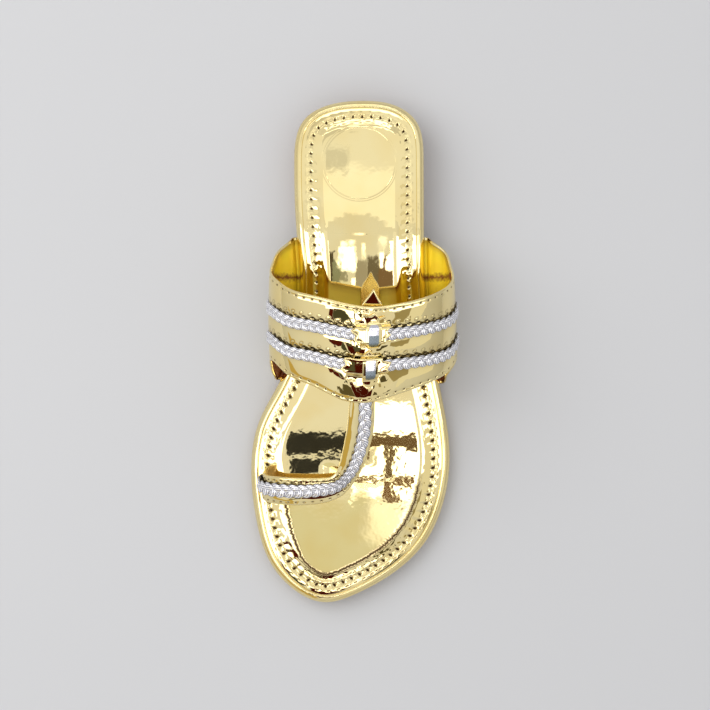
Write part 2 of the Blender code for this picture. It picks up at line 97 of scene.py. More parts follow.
BAND = (  # row, then x, y, z of the back edge and x, y, z of the front edge, all on the outer face
    ("flare inner", -35.3, 50.6, 24.2, -39.2, -10.6, 14.6),
    ("swell inner", -38.2, 44.8, 31.2, -39.6, -7.0, 23.2),
    ("side inner", -39.2, 39.0, 38.6, -39.4, -4.2, 32.0),
    ("shoulder inner", -35.8, 34.6, 47.8, -36.2, -6.4, 39.4),
    ("haunch inner", -29.6, 30.3, 54.0, -30.0, -11.9, 45.0),
    ("quarter inner", -18.0, 26.8, 60.1, -18.0, -17.0, 50.5),
    ("crown inner", -4.0, 23.4, 63.4, -4.5, -23.4, 53.4),
    ("ridge", 9.0, 21.3, 64.0, 7.5, -25.0, 54.0),
    ("crown outer", 21.5, 22.4, 62.2, 19.5, -22.2, 52.9),
    ("quarter outer", 34.0, 25.2, 58.0, 31.5, -18.2, 49.9),
    ("haunch outer", 44.3, 29.4, 51.0, 42.8, -13.6, 44.5),
    ("shoulder outer", 49.5, 33.4, 44.0, 49.6, -8.6, 38.4),
    ("side outer", 50.8, 38.2, 36.6, 52.6, -3.0, 31.0),
    ("swell outer", 49.6, 43.9, 30.0, 52.2, -6.4, 22.6),
    ("flare outer", 46.8, 50.4, 23.6, 49.0, -11.8, 14.2),
)
FOOT_PULL = (1.0, 1.0, 1.0, 1.0, 0.5)  # how closely the lowest rows follow the sole's edge
STRAP = (  # row, then x, y, z of the inner or back edge and of the outer or front edge, on the outer face
    ("tail tip", 11.2, 29.4, 63.3, 11.7, 29.4, 63.3),
    ("tail middle", 8.6, 25.8, 62.3, 13.5, 25.8, 62.3),
    ("tail root", 5.6, 21.8, 61.0, 15.7, 21.8, 60.9),
    ("under back", 5.2, 15.0, 59.7, 15.6, 15.0, 59.5),
    ("under middle", 2.5, -1.8, 56.4, 13.6, -1.8, 56.3),
    ("under front", 0.2, -20.6, 51.7, 12.3, -20.6, 51.7),
    ("exit", -0.5, -28.0, 49.4, 12.1, -27.6, 49.4),
    ("fall", -1.4, -37.0, 45.7, 11.7, -37.0, 45.7),
    ("instep", -2.9, -45.6, 41.8, 9.7, -47.0, 41.3),
    ("cleft", -4.6, -53.0, 38.0, 6.2, -57.2, 37.2),
    ("bend", -6.4, -58.4, 35.6, 1.6, -65.0, 34.2),
    ("turned", -9.2, -61.4, 34.6, -3.4, -70.8, 32.2),
    ("toe outer", -14.5, -62.2, 34.6, -10.6, -74.2, 31.4),
    ("toe top", -24.0, -62.2, 34.8, -24.0, -75.8, 31.0),
    ("toe inner", -32.6, -61.8, 33.4, -32.6, -75.6, 29.6),
    ("loop shoulder", -38.9, -61.4, 29.2, -39.3, -75.0, 25.8),
    ("loop side", -42.6, -60.4, 22.2, -43.3, -73.2, 19.8),
    ("loop waist", -42.0, -58.0, 16.1, -42.6, -70.4, 14.7),
    ("loop foot", -39.6, -56.6, 12.2, -39.8, -68.0, 11.4),
    ("loop slot", -38.6, -56.5, 9.7, -38.6, -67.8, 9.6),
)
POST = (  # the short leg between the toes, on its inner face
    ("post top", -6.0, -60.0, 32.2, -4.6, -66.4, 30.2),
    ("post neck", -6.4, -59.0, 29.0, -5.6, -67.2, 28.2),
    ("post middle", -7.2, -58.2, 24.0, -6.9, -67.6, 23.6),
    ("post waist", -9.0, -57.5, 17.0, -8.8, -67.8, 16.6),
    ("post foot", -10.1, -57.2, 12.4, -10.0, -67.8, 12.2),
    ("post slot", -10.3, -57.2, 9.7, -10.3, -67.8, 9.7),
)
BRAID_LINES = (  # name, then the share of the band's width at the inner foot, side, middle, side and foot
    ("back", 0.42, 0.40, 0.285, 0.42, 0.44),
    ("front", 0.68, 0.735, 0.605, 0.78, 0.71),
)
TOE_BRAID = (  # row of STRAP where it is, then the shares of the strap's width at the braid's two edges
    ("under front", 0.35, 0.89),
    ("exit", 0.36, 0.90),
    ("instep", 0.39, 0.91),
    ("bend", 0.29, 0.83),
    ("turned", 0.20, 0.74),
    ("toe top", 0.18, 0.69),
    ("loop side", 0.19, 0.71),
    ("loop waist", 0.22, 0.70),
)


# ---- Curves and irregular surfaces ----------------------------------------------------------------


def cubic_spline(knots: Any, rows: Any, closed: bool = False) -> Callable[[Any], Array]:
    """Makes the natural cubic curve through rows of numbers.

    Args:
        knots: Where each row stands. A closed curve has one more knot, for the way back to the first row.
        rows: The numbers that the curve passes through, one row for each knot.
        closed: Whether the curve ends as it starts, with the same direction and bend.

    Returns:
        A function that reads the curve at any places along it.
    """
    knots, rows = np.asarray(knots, float), np.asarray(rows, float)
    if closed:
        rows = np.vstack([rows, rows[:1]])
    count, gaps = len(knots), np.diff(knots)
    slopes = np.diff(rows, axis=0) / gaps[:, None]
    system, wanted = np.eye(count), np.zeros_like(rows)
    for i in range(1, count - 1):
        system[i, i - 1 : i + 2] = gaps[i - 1], 2 * (gaps[i - 1] + gaps[i]), gaps[i]
        wanted[i] = 6 * (slopes[i] - slopes[i - 1])
    if closed:
        system[0, :2] = 2 * (gaps[-1] + gaps[0]), gaps[0]
        system[0, -2] = gaps[-1]
        wanted[0] = 6 * (slopes[0] - slopes[-1])
        system[-1, 0], system[-1, -1] = -1, 1
    bends = np.linalg.solve(system, wanted)

    def read(where: Any) -> Array:
        """The curve at these places: straight lines, plus cubics that make its bend continuous.

        Args:
            where: Places along the curve.

        Returns:
            Its numbers there.
        """
        where = np.asarray(where, float)
        i = np.clip(np.searchsorted(knots, where, side="right") - 1, 0, count - 2)
        gap = gaps[i]
        b = (where - knots[i]) / gap
        a = 1 - b
        cubic = ((a**3 - a) * gap**2 / 6)[..., None] * bends[i]
        cubic += ((b**3 - b) * gap**2 / 6)[..., None] * bends[i + 1]
        return a[..., None] * rows[i] + b[..., None] * rows[i + 1] + cubic

    return read


def graph(pairs: Any) -> Callable[[Any], Array]:
    """A smooth single-valued curve through (where, value) pairs.

    Args:
        pairs: Each place and the value there, in order.

    Returns:
        A function that reads the curve, which stays level past its ends.
    """
    pairs = np.asarray(pairs, float)
    curve = cubic_spline(pairs[:, 0], pairs[:, 1:])
    low, high = pairs[0, 0], pairs[-1, 0]
    return lambda where: curve(np.clip(where, low, high))[..., 0]


def chord_knots(rows: Array) -> Array:
    """How far along its own chords each of these rows is, from 0."""
    return np.concatenate([[0], np.cumsum(np.linalg.norm(np.diff(rows, axis=0), axis=1))])


def step(value: Array, start: float, end: float) -> Array:
    """0 before start and 1 after end, with a smooth cubic in between."""
    share = np.clip((value - start) / (end - start), 0, 1)
    return share * share * (3 - 2 * share)


def hump(distance: Array, reach: float) -> Array:
    """1 at no distance, falling as a bell to almost 0 at twice the reach."""
    return np.exp(-((distance / reach) ** 2))


def swell(u: Array, v: Array, size: float, seed: int, waves: int = 9) -> Array:
    """A soft irregular surface between about -1 and 1.

    Args:
        u: One coordinate, in millimetres.
        v: The other coordinate.
        size: The usual wavelength, in millimetres.
        seed: Picks the directions, wavelengths and phases of the sines that are added up.
        waves: How many sines there are.

    Returns:
        The height at each point.
    """
    dice = np.random.default_rng(seed)
    total = np.zeros(np.broadcast(u, v).shape)
    for angle, length, phase in dice.uniform((0, 0.7, 0), (TAU, 1.5, TAU), (waves, 3)):
        total += np.sin(TAU * (u * math.cos(angle) + v * math.sin(angle)) / (size * length) + phase)
    return total / math.sqrt(2 * waves)


def crumple(u: Array, v: Array, size: float, seed: int, folds: int = 6) -> Array:
    """Flat facets between sharp folds, between about -1 and 1: triangle waves in seeded directions.

    Args:
        u: One coordinate, in millimetres.
        v: The other coordinate.
        size: The usual width of a wave, in millimetres.
        seed: Picks the directions, widths and phases of the waves that are added up.
        folds: How many waves there are.

    Returns:
        The height at each point.
    """
    dice = np.random.default_rng(seed)
    total = np.zeros(np.broadcast(u, v).shape)
    for angle, length, phase in dice.uniform((0, 0.7, 0), (TAU, 1.8, 1), (folds, 3)):
        turn = (u * math.cos(angle) + v * math.sin(angle)) / (size * length) + phase
        total += 4 * np.abs(turn - np.floor(turn + 0.5)) - 1
    return total / math.sqrt(folds)


# ---- The sole's edge and height, and strips of leather --------------------------------------------


@dataclass
class SoleLine:
    """The sole's edge seen from above, and the height of its underside from the floor."""

    heel_lift: float = 10.8
    heel_front_y: float = 62.0
    slope_end_y: float = -15.0
    spring_start_y: float = -76.0
    toe_spring: float = 2.4
    toe_y: float = -125.5

    def __post_init__(self) -> None:
        """Runs a closed curve through the outline's places."""
        edge = np.array([row[1:] for row in OUTLINE])
        self.knots = chord_knots(np.vstack([edge, edge[:1]]))
        self.curve = cubic_spline(self.knots, edge, closed=True)
        self.length = self.knots[-1]
        self.tip = self.knots[[row[0] for row in OUTLINE].index("toe tip")]

    def steps(self, count: int) -> Array:
        """Even distances round the edge: down the outer side to the toe tip, and back up the inner side.

        Args:
            count: How many steps there are, an even number.

        Returns:
            The distances, from 0 to the whole way round.
        """
        outer = np.linspace(0, self.tip, count // 2 + 1)
        inner = np.linspace(self.tip, self.length, count // 2 + 1)
        return np.concatenate([outer, inner[1:]])

    def points(self, where: Array, inset: Array) -> Array:
        """Points this far inside the edge, square to it, at these distances round it.

        Args:
            where: Distances round the edge.
            inset: How far inside it.

        Returns:
            The x and y of each point.
        """
        where = np.mod(where, self.length)
        ahead = self.curve(np.mod(where + 0.01, self.length)) - self.curve(np.mod(where - 0.01, self.length))
        ahead /= np.linalg.norm(ahead, axis=-1, keepdims=True)
        inward = np.stack([ahead[..., 1], -ahead[..., 0]], axis=-1)
        return self.curve(where) + np.asarray(inset)[..., None] * inward

    def edge_x(self, y: Array, side: int) -> Array:
        """The x of the edge at y: side is 1 for the outer edge and -1 for the inner."""
        points = self.curve(np.linspace(0 if side > 0 else self.length, self.tip, 900))
        return np.interp(-np.asarray(y, float), -points[:, 1], points[:, 0])

    def underside(self, y: Array) -> Array:
        """The underside's height: flat, a cosine down the waist, flat, then a parabola at the toe.

        Args:
            y: Places along the shoe.

        Returns:
            The height from the floor there.
        """
        along = np.clip((y - self.slope_end_y) / (self.heel_front_y - self.slope_end_y), 0, 1)
        toe = np.clip((self.spring_start_y - y) / (self.spring_start_y - self.toe_y), 0, 1)
        return self.heel_lift * (1 - np.cos(math.pi * along)) / 2 + self.toe_spring * toe**2

    def ring(self, where: Array, inset: Array, height: Array) -> Array:
        """Points at these insets and heights over the underside."""
        flat = self.points(where, inset)
        return np.concatenate([flat, (self.underside(flat[..., 1]) + height)[..., None]], axis=-1)


SOLE = SoleLine()


class Strip:
    """A strip between two edge curves, read by the distance along it and the share of its width."""

    def __init__(self, rows: Any, crown: float, facing: int = 1) -> None:
        """Runs a cubic curve along each edge.

        Args:
            rows: A name, x, y, z of the first edge and x, y, z of the second, for each row.
            crown: How far the middle stands out, as a share of the width.
            facing: 1 where the outer face is on the side of along x across, else -1.
        """
        edges = np.array([row[1:] for row in rows], float)
        self.knots = (chord_knots(edges[:, :3]) + chord_knots(edges[:, 3:])) / 2
        self.knot = dict(zip((row[0] for row in rows), self.knots))
        self.crown, self.facing = crown, facing
        self.edge_a = cubic_spline(self.knots, edges[:, :3])
        self.edge_b = cubic_spline(self.knots, edges[:, 3:])

    def pull(self, along: Array, across: Array, points: Array) -> Array:
        """Where a kind of strip moves its own points. A plain strip leaves them."""
        return points

    def width(self, along: Any) -> Array:
        """The distance between the two edges."""
        return np.linalg.norm(self.edge_b(along) - self.edge_a(along), axis=-1)

    def rise(self, along: Array, across: Array) -> Array:
        """The height of the crown, a parabola over the width."""
        inside = np.clip(across, 0, 1)
        return self.crown * self.width(along) * 4 * inside * (1 - inside)

    def flat(self, along: Array, across: Array) -> Array:
        """The strip without its crown: straight lines from one edge to the other."""
        share = across[..., None]
        return self.pull(along, across, (1 - share) * self.edge_a(along) + share * self.edge_b(along))

    def normal(self, along: Array, across: Array) -> Array:
        """Square to the directions along and across.

        Args:
            along: Distances along the strip.
            across: Shares of its width.

        Returns:
            Unit vectors out of the outer face.
        """
        run = self.flat(along + 0.05, across) - self.flat(along - 0.05, across)
        over = self.flat(along, across + 0.002) - self.flat(along, across - 0.002)
        out = np.cross(run, over) * self.facing
        return out / np.linalg.norm(out, axis=-1, keepdims=True)

    def at(self, along: Any, across: Any, lift: Any = 0.0) -> Array:
        """Points of the outer face, or as far over it as lift says.

        Args:
            along: Distances along the strip.
            across: Shares of its width.
            lift: How far over the outer face.

        Returns:
            The points.
        """
        along, across = np.broadcast_arrays(np.asarray(along, float), np.asarray(across, float))
        rise = self.rise(along, across) + lift
        return self.flat(along, across) + rise[..., None] * self.normal(along, across)


class Band(Strip):
    """The instep band, whose two feet follow the edge of the sole."""

    def __init__(self, crown: float = 0.012) -> None:
        """Puts the rows of the inner foot, the arch and the outer foot in order.

        Args:
            crown: How far its middle stands out, as a share of the width.
        """
        rows: list[tuple] = []
        for side, feet in ((-1, BAND_FEET), (1, BAND_FEET[::-1])):
            for row, out, height, back_inner, back_outer, front_inner, front_outer in feet:
                place = []
                for y in (back_inner, front_inner) if side < 0 else (back_outer, front_outer):
                    place += [float(SOLE.edge_x(y, side)) + side * out, y, float(SOLE.underside(y)) + height]
                rows.append((f"{row} {'inner' if side < 0 else 'outer'}", *place))
            if side < 0:
                rows += BAND
        self.pulls = np.zeros(len(rows))
        self.pulls[: len(FOOT_PULL)] = FOOT_PULL
        self.pulls[-len(FOOT_PULL) :] = FOOT_PULL[::-1]
        super().__init__(rows, crown, facing=-1)

    def rise(self, along: Array, across: Array) -> Array:
        """The crown, which fades out at the feet."""
        return super().rise(along, across) * (1 - np.interp(along, self.knots, self.pulls))

    def pull(self, along: Array, across: Array, points: Array) -> Array:
        """Moves the feet from the straight line between the two edges to the sole's own edge and height.

        Args:
            along: Distances along the strip.
            across: Shares of its width.
            points: Points of the straight lines, which are moved.

        Returns:
            The same points.
        """
        how_much = np.interp(along, self.knots, self.pulls)
        back, front = self.edge_a(along), self.edge_b(along)
        for side in (-1, 1):
            ours = how_much * ((along > self.knot["ridge"]) if side > 0 else (along <= self.knot["ridge"]))
            for axis, follow in ((0, lambda y, s=side: SOLE.edge_x(y, s)), (2, SOLE.underside)):
                line = (1 - across) * follow(back[..., 1]) + across * follow(front[..., 1])
                points[..., axis] += ours * (follow(points[..., 1]) - line)
        return points


BAND_STRIP = Band()
TOE_STRIP = Strip(STRAP, 0.06)
POST_STRIP = Strip(POST, 0.0)


# ---- Meshes ---------------------------------------------------------------------------------------


class Slot(Enum):
    """The record's material slots."""

    FOIL = "gold_foil"
    INSOLE = "gold_insole"
    BRAID = "silver_braid"
    RUBBER = "tan_rubber"


class Draft:
    """Grids of points gathered for one piece, welded where they meet."""

    weld = 2e-4  # points nearer than this become one

    def __init__(self) -> None:
        """Starts with nothing."""
        self.points: list[Array] = []
        self.quads: list[Array] = []
        self.maps: list[Array] = []
        self.marks: list[Array] = []
        self.count = 0

    def grid(self, points: Array, flip: bool = False, uv: Any = None, mark: Any = 0.0) -> "Draft":
        """Adds a grid of quads, which face the way that rows turn towards columns.

        Args:
            points: In millimetres, as rows, columns and x, y, z.
            flip: Turns the faces over.
            uv: In millimetres, as rows, columns and u, v.
            mark: How dark each point is, from 0 to 1.

        Returns:
            The draft, for its next grid.
        """
        rows, columns = points.shape[:2]
        index = self.count + np.arange(rows * columns).reshape(rows, columns)
        quads = np.stack([index[:-1, :-1], index[1:, :-1], index[1:, 1:], index[:-1, 1:]], axis=-1)
        quads = quads.reshape(-1, 4)
        self.quads.append(quads[:, ::-1] if flip else quads)
        self.points.append(points.reshape(-1, 3))
        self.maps.append((points[..., :2] if uv is None else uv).reshape(-1, 2))
        self.marks.append(np.broadcast_to(mark, (rows, columns)).reshape(-1))
        self.count += rows * columns
        return self

    def tube(self, points: Array, flip: bool = False, uv: Any = None, mark: Any = 0.0) -> "Draft":
        """Adds a grid whose columns close on themselves, with each end row drawn in to one point.

        Args:
            points: As for a grid, without the column that closes it.
            flip: Turns the faces over.
            uv: As for a grid, with that column.
            mark: How dark each point is, from 0 to 1.

        Returns:
            The draft, for its next grid.
        """
        points = np.concatenate([points, points[:, :1]], axis=1)
        ends = points[[0, -1], :-1].mean(axis=1, keepdims=True).repeat(points.shape[1], axis=1)
        points = np.concatenate([ends[:1], points, ends[1:]])
        if uv is not None:
            uv = np.concatenate([uv[:1], uv, uv[-1:]])
        mark = np.broadcast_to(mark, (points.shape[0] - 2, points.shape[1] - 1))
        mark = np.pad(np.concatenate([mark, mark[:, :1]], axis=1), ((1, 1), (0, 0)), mode="edge")
        return self.grid(points, flip, uv, mark)

    def build(self, name: str, finish: "Finish", slot: Slot, *replaced: str) -> Piece:
        """Makes the piece, in metres, with smooth faces, and rides it on the shoe.

        Args:
            name: The piece's name.
            finish: What it is made of.
            slot: The record's slot for it. Not used.
            replaced: The plain solids that it stands for.

        Returns:
            The piece.
        """
        points, quads = np.vstack(self.points), np.vstack(self.quads)
        keys = np.round(points / self.weld).astype(np.int64)
        _, first, welded = np.unique(keys, axis=0, return_index=True, return_inverse=True)
        corners = welded.reshape(-1)[quads]
        keep = corners != np.roll(corners, 1, axis=1)
        whole = (keep.sum(axis=1) > 2) & (corners[:, 0] != corners[:, 2]) & (corners[:, 1] != corners[:, 3])
        keep, corners, quads = keep[whole], corners[whole], quads[whole]
        sizes = keep.sum(axis=1)
        mesh = bpy.data.meshes.new(name)
        mesh.vertices.add(len(first))
        mesh.vertices.foreach_set("co", ((points[first] - ORIGIN) * MM).astype(np.float32).ravel())
        mesh.loops.add(int(sizes.sum()))
        mesh.loops.foreach_set("vertex_index", corners[keep].astype(np.int32))
        mesh.polygons.add(len(sizes))
        mesh.polygons.foreach_set("loop_start", (np.cumsum(sizes) - sizes).astype(np.int32))
        layer = mesh.uv_layers.new(name="UVMap")
        layer.data.foreach_set("uv", np.vstack(self.maps)[quads[keep]].astype(np.float32).ravel())
        dark = mesh.attributes.new("dark", "FLOAT", "POINT")
        dark.data.foreach_set("value", np.concatenate(self.marks)[first].astype(np.float32))
        mesh.update(calc_edges=True)
        mesh.validate()
        mesh.shade_smooth()
        mesh.materials.append(finish.material())
        piece = bpy.data.objects.new(name, mesh)
        bpy.context.scene.collection.objects.link(piece)
        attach(piece, "root")
        if replaced:
            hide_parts(*replaced)
        return piece


def report(*pieces: Piece) -> None:
    """Says how many faces each piece has."""
    for piece in pieces:
        LOG.info("%s: %d faces", piece.name, len(piece.data.polygons))


def rungs(ring: Array, columns: int) -> Array:
    """Straight lines across a closed ring, from each point of its first half to the one across from it.

    Args:
        ring: The ring's points, the last of them the first again.
        columns: How many points each line has.

    Returns:
        A grid with a row for each line. Its first and last rows are single points.
    """
    half = len(ring) // 2
    outer, inner = ring[: half + 1], ring[::-1][: half + 1]
    share = np.linspace(0, 1, columns)[None, :, None]
    return (1 - share) * outer[:, None] + share * inner[:, None]


ROUND_STEPS = 8  # points over a strip's rounded edge
BACK_STEPS = 24  # and over its inner face


def shell(
    strip: Strip,
    along: Array,
    across: Array,
    wall: float,
    top: float = 0.0,
    relief: Callable[[Array, Array], Array] | None = None,
    dark: Callable[[Array, Array], Array] | None = None,
    edge: tuple[float, float] = (0.0, 1.0),
) -> tuple[Array, Array, Array]:
    """A closed leather strip: the outer face, a half round on each edge, and the inner face.

    Args:
        strip: The surface that it lies on.
        along: Distances along the strip.
        across: Where the outer face has points, from 0 to 1 between the two rounds.
        wall: How thick the leather is.
        top: How far the outer face is over the strip's own.
        relief: How much higher the outer face is, at distances along and shares of the width.
        dark: How dark it is there.
        edge: The shares of the width at which the two edges are.

    Returns:
        Points, UV in millimetres and darkness, as grids whose columns close on themselves.
    """
    radius = wall / 2
    turn = np.linspace(0, math.pi, ROUND_STEPS)[1:-1]
    back = np.linspace(1, 0, BACK_STEPS)
    fall = radius * (1 - np.cos(turn))
    depth = np.concatenate([0 * across, fall, 0 * back + wall, wall - fall])
    flat = np.concatenate([across, 0 * turn + 1, back, 0 * turn])
    bulge = np.concatenate([0 * across, np.sin(turn), 0 * back, -np.sin(turn)]) * radius
    width = strip.width(along)[:, None]
    inner = edge[0] + radius / width
    share = inner + flat[None, :] * (edge[1] - radius / width - inner) + bulge[None, :] / width
    outside = (depth <= 0).astype(float)[None, :]
    far = along[:, None] + 0 * share
    lift = top - depth[None, :] + (outside * relief(far, share) if relief else 0.0)
    mark = outside * dark(far, share) if dark else 0 * share
    uv = np.stack([far, share * width], axis=-1)
    return strip.at(far, share, lift), np.concatenate([uv, uv[:, :1]], axis=1), mark


# ---- Finishes -------------------------------------------------------------------------------------

WAVE_UNIT = TAU / 20  # the period of a wave texture whose scale is 1


def colour(code: str) -> tuple[float, float, float, float]:
    """An sRGB hex value as linear red, green, blue and alpha."""
    parts = [int(code[i : i + 2], 16) / 255 for i in (1, 3, 5)]
    return (*(c / 12.92 if c <= 0.04045 else ((c + 0.055) / 1.055) ** 2.4 for c in parts), 1.0)


def add_node(tree: Tree, kind: str, inputs: dict | None = None, **settings: Any) -> bpy.types.Node:
    """Adds a node with its settings.

    Args:
        tree: Where it goes.
        kind: What comes after ShaderNode in the node's type.
        inputs: For each input's name or number, a value, or the source that it is linked to.
        settings: The node's own properties.

    Returns:
        The node.
    """
    node = tree.nodes.new(f"ShaderNode{kind}")
    for name, value in settings.items():
        setattr(node, name, value)
    for name, value in (inputs or {}).items():
        if isinstance(value, Source):
            source = value.outputs[0] if isinstance(value, bpy.types.Node) else value
            tree.links.new(source, node.inputs[name])
        else:
            node.inputs[name].default_value = value
    return node


class Finish:
    """What a piece is made of."""

    name = "plain"

    def material(self) -> bpy.types.Material:
        """The finish's material, made once.

        Returns:
            The material.
        """
        made = bpy.data.materials.get(self.name)
        if made is None:
            made = bpy.data.materials.new(self.name)
            made.use_nodes = True
            made.node_tree.nodes.clear()
            shader = self.surface(made.node_tree)
            add_node(made.node_tree, "OutputMaterial", {"Surface": shader})
        return made

    def surface(self, tree: Tree) -> Source:
        """Makes the nodes, and gives the shader's output."""
        raise NotImplementedError


@dataclass(frozen=True)
class MirrorFoil(Finish):
    """Metallised gold film hot-pressed on leather: a mirror with faint orange peel, with brown painted shade
    in its holes and wherever a piece is marked dark.
    """

    name: str = "mirror_gold_foil"
    gold: str = "#F4E3AA"
    warm: str = "#F2DC9C"
    # its dark tone is painted shade, in holes, folds and under the braids
    dark_tone: str = "#3A1D08"
    metallic: float = 1.0
    roughness: float = 0.02
    dark_roughness: float = 0.5
    patch_mm: float = 18.0  # the width of its warmer patches
    peel_mm: float = 2.2  # the width of the orange peel's cells
    peel_height: float = 0.003
    grain_mm: float = 0.5
    grain_height: float = 0.0001

    def surface(self, tree: Tree) -> Source:
        """Gold that warms in patches, with peel and grain as bump, and painted shade, brown and rough, where
        it is marked dark.

        Args:
            tree: The material's nodes.

        Returns:
            The shader.
        """
        place = add_node(tree, "TexCoord").outputs["Object"]
        dark_marks = self.shade(tree, place, add_node(tree, "Attribute", attribute_name="dark").outputs["Fac"])
        cells = {"Vector": place, "Scale": 1 / (self.patch_mm * MM), "Detail": 2.0}
        patches = add_node(tree, "TexNoise", cells)
        share = add_node(tree, "MapRange", {"Value": patches, "From Min": 0.4, "From Max": 0.75})
        gold = add_node(tree, "Mix", {0: share, 6: colour(self.gold), 7: colour(self.warm)}, data_type="RGBA")
        tint = self.tint(tree, place, gold.outputs[2])
        # painted shade: the gold turns to the dark tone where the piece is marked dark
        base = add_node(tree, "Mix", {0: dark_marks, 6: tint, 7: colour(self.dark_tone)}, data_type="RGBA").outputs[2]
        dark_matt = {"Value": dark_marks, "From Min": 0.1, "To Min": self.roughness, "To Max": self.dark_roughness}
        inputs: dict = {}
        peel, grain = (self.peel_mm, 1.0, self.peel_height), (self.grain_mm, 2.0, self.grain_height)
        for size, detail, height in (peel, grain):
            rise = add_node(tree, "TexNoise", {"Vector": place, "Scale": 1 / (size * MM), "Detail": detail})
            inputs["Normal"] = add_node(tree, "Bump", {"Height": rise, "Distance": height * MM, **inputs})
        inputs["Normal"] = self.relief(tree, place, inputs["Normal"])
        inputs.update({"Base Color": base, "Roughness": add_node(tree, "MapRange", dark_matt)})
        return add_node(tree, "BsdfPrincipled", {"Metallic": self.metallic, **inputs})

    def relief(self, tree: Tree, place: Source, normal: Source) -> Source:
        """What else is pressed into the foil. The plain foil has nothing."""
        return normal

    def shade(self, tree: Tree, place: Source, dark_marks: Source) -> Source:
        """What other painted shade darkens the foil. The plain foil has none."""
        return dark_marks

    def tint(self, tree: Tree, place: Source, gold: Source) -> Source:
        """How else the gold changes over the piece. The plain foil's doesn't."""
        return gold


@dataclass(frozen=True)
class InsoleFoil(MirrorFoil):
    """The mirror foil on the padded insole, with a double ring pressed into it under the heel."""

    name: str = "mirror_gold_insole"
    roughness: float = 0.018
    peel_mm: float = 3.0
    peel_height: float = 0.006
    ring_centre: tuple[float, float] = (4.7, 93.3)
    rings: tuple = ((17.7, 0.38, 0.050), (18.9, 0.30, 0.025))  # radius, half width and depth, in millimetres

    def relief(self, tree: Tree, place: Source, normal: Source) -> Source:
        """Presses each ring in: a groove that is deepest on its radius and gone at its half width.

        Args:
            tree: The material's nodes.
            place: The place on the shoe.
            normal: The normal so far.

        Returns:
            The normal with the rings.
        """
        x, y = [(o - c) * MM for c, o in zip(self.ring_centre, ORIGIN)]
        flat = add_node(tree, "Mapping", {"Vector": place, "Location": (x, y, 0), "Scale": (1, 1, 0)})
        away = add_node(tree, "VectorMath", {0: flat}, operation="LENGTH").outputs["Value"]
        for radius, half, depth in self.rings:
            off = add_node(tree, "Math", {0: away, 1: radius * MM}, operation="SUBTRACT")
            off = add_node(tree, "Math", {0: off}, operation="ABSOLUTE")
            ends = {"Value": off, "From Max": half * MM, "To Min": 0.0, "To Max": 1.0}
            ring = add_node(tree, "MapRange", ends, interpolation_type="SMOOTHSTEP")
            normal = add_node(tree, "Bump", {"Height": ring, "Distance": depth * MM, "Normal": normal})
        return normal


@dataclass(frozen=True)
class SatinLining(MirrorFoil):
    """The same film on a soft lining leather: deeper, more orange and satin, with a fine grain."""

    name: str = "satin_gold_lining"
    gold: str = "#FFE424"
    warm: str = "#FFD42C"
    middle: str = "#F2F6B0"
    # the dark tone, for the join and for painted shade
    dark_tone: str = "#7A3A06"
    metallic: float = 0.35
    roughness: float = 0.4
    peel_mm: float = 5.0
    peel_height: float = 0.05
    grain_height: float = 0.004
    join_y: float = 36.8  # where its two pieces are joined crosswise
    stitch_mm: float = 1.6
    jag_mm: float = 1.6  # how far the join strays
    sides_mm: tuple[float, float] = (17.0, 26.0)  # how far out its sides begin, and are full
    shades: tuple = (  # whether on both sides of the join, how far behind it from and to, how dark at each
        # the first row is the dark join itself; the other two are painted shade, in front of the join and
        # under the band's front
        (True, 0.0, 2.4, 1.0, 0.0),
        (False, 0.0, -9.0, 0.0, 0.5),
        (False, -36.0, -46.0, 0.0, 0.55),
    )

    def shade(self, tree: Tree, place: Source, dark_marks: Source) -> Source:
        """A jagged dark join across it, and painted shade, browner, in front of it and under the band's
        front.

        Args:
            tree: The material's nodes.
            place: The place on the shoe.
            dark_marks: How dark it is so far.

        Returns:
            How dark it is with the join and the painted shade.
        """
        jag = add_node(tree, "TexNoise", {"Vector": place, "Scale": 1 / (self.stitch_mm * MM), "Detail": 1.0})
        stray = self.jag_mm * MM
        jag = add_node(tree, "MapRange", {"Value": jag, "To Min": -stray, "To Max": stray})
        split = add_node(tree, "SeparateXYZ", {0: place})
        behind = add_node(tree, "Math", {0: split.outputs["Y"], 1: jag}, operation="ADD")
        behind = add_node(tree, "Math", {0: behind, 1: (ORIGIN[1] - self.join_y) * MM}, operation="ADD")
        off = add_node(tree, "Math", {0: behind}, operation="ABSOLUTE")
        total: Any = 0.0
        for both, start, end, first, last in self.shades:
            ends = {"From Min": start * MM, "From Max": end * MM, "To Min": first, "To Max": last}
            part = add_node(tree, "MapRange", {"Value": off if both else behind, **ends})
            total = add_node(tree, "Math", {0: part, 1: total}, operation="ADD")
        total = add_node(tree, "Math", {0: total, 1: self.aside(tree, place)}, operation="MULTIPLY")
        return add_node(tree, "Math", {0: total, 1: dark_marks}, operation="ADD", use_clamp=True)

    def aside(self, tree: Tree, place: Source) -> Source:
        """One at the band's sides and nought over its middle.

        Args:
            tree: The material's nodes.
            place: The place on the shoe.

        Returns:
            That share.
        """
        split = add_node(tree, "SeparateXYZ", {0: place})
        wide = add_node(tree, "Math", {0: split.outputs["X"]}, operation="ABSOLUTE")
        start, end = self.sides_mm
        return add_node(tree, "MapRange", {"Value": wide, "From Min": start * MM, "From Max": end * MM})

    def tint(self, tree: Tree, place: Source, gold: Source) -> Source:
        """Paler over the middle than at the sides."""
        wide = self.aside(tree, place)
        return add_node(tree, "Mix", {0: wide, 6: colour(self.middle), 7: gold}, data_type="RGBA").outputs[2]


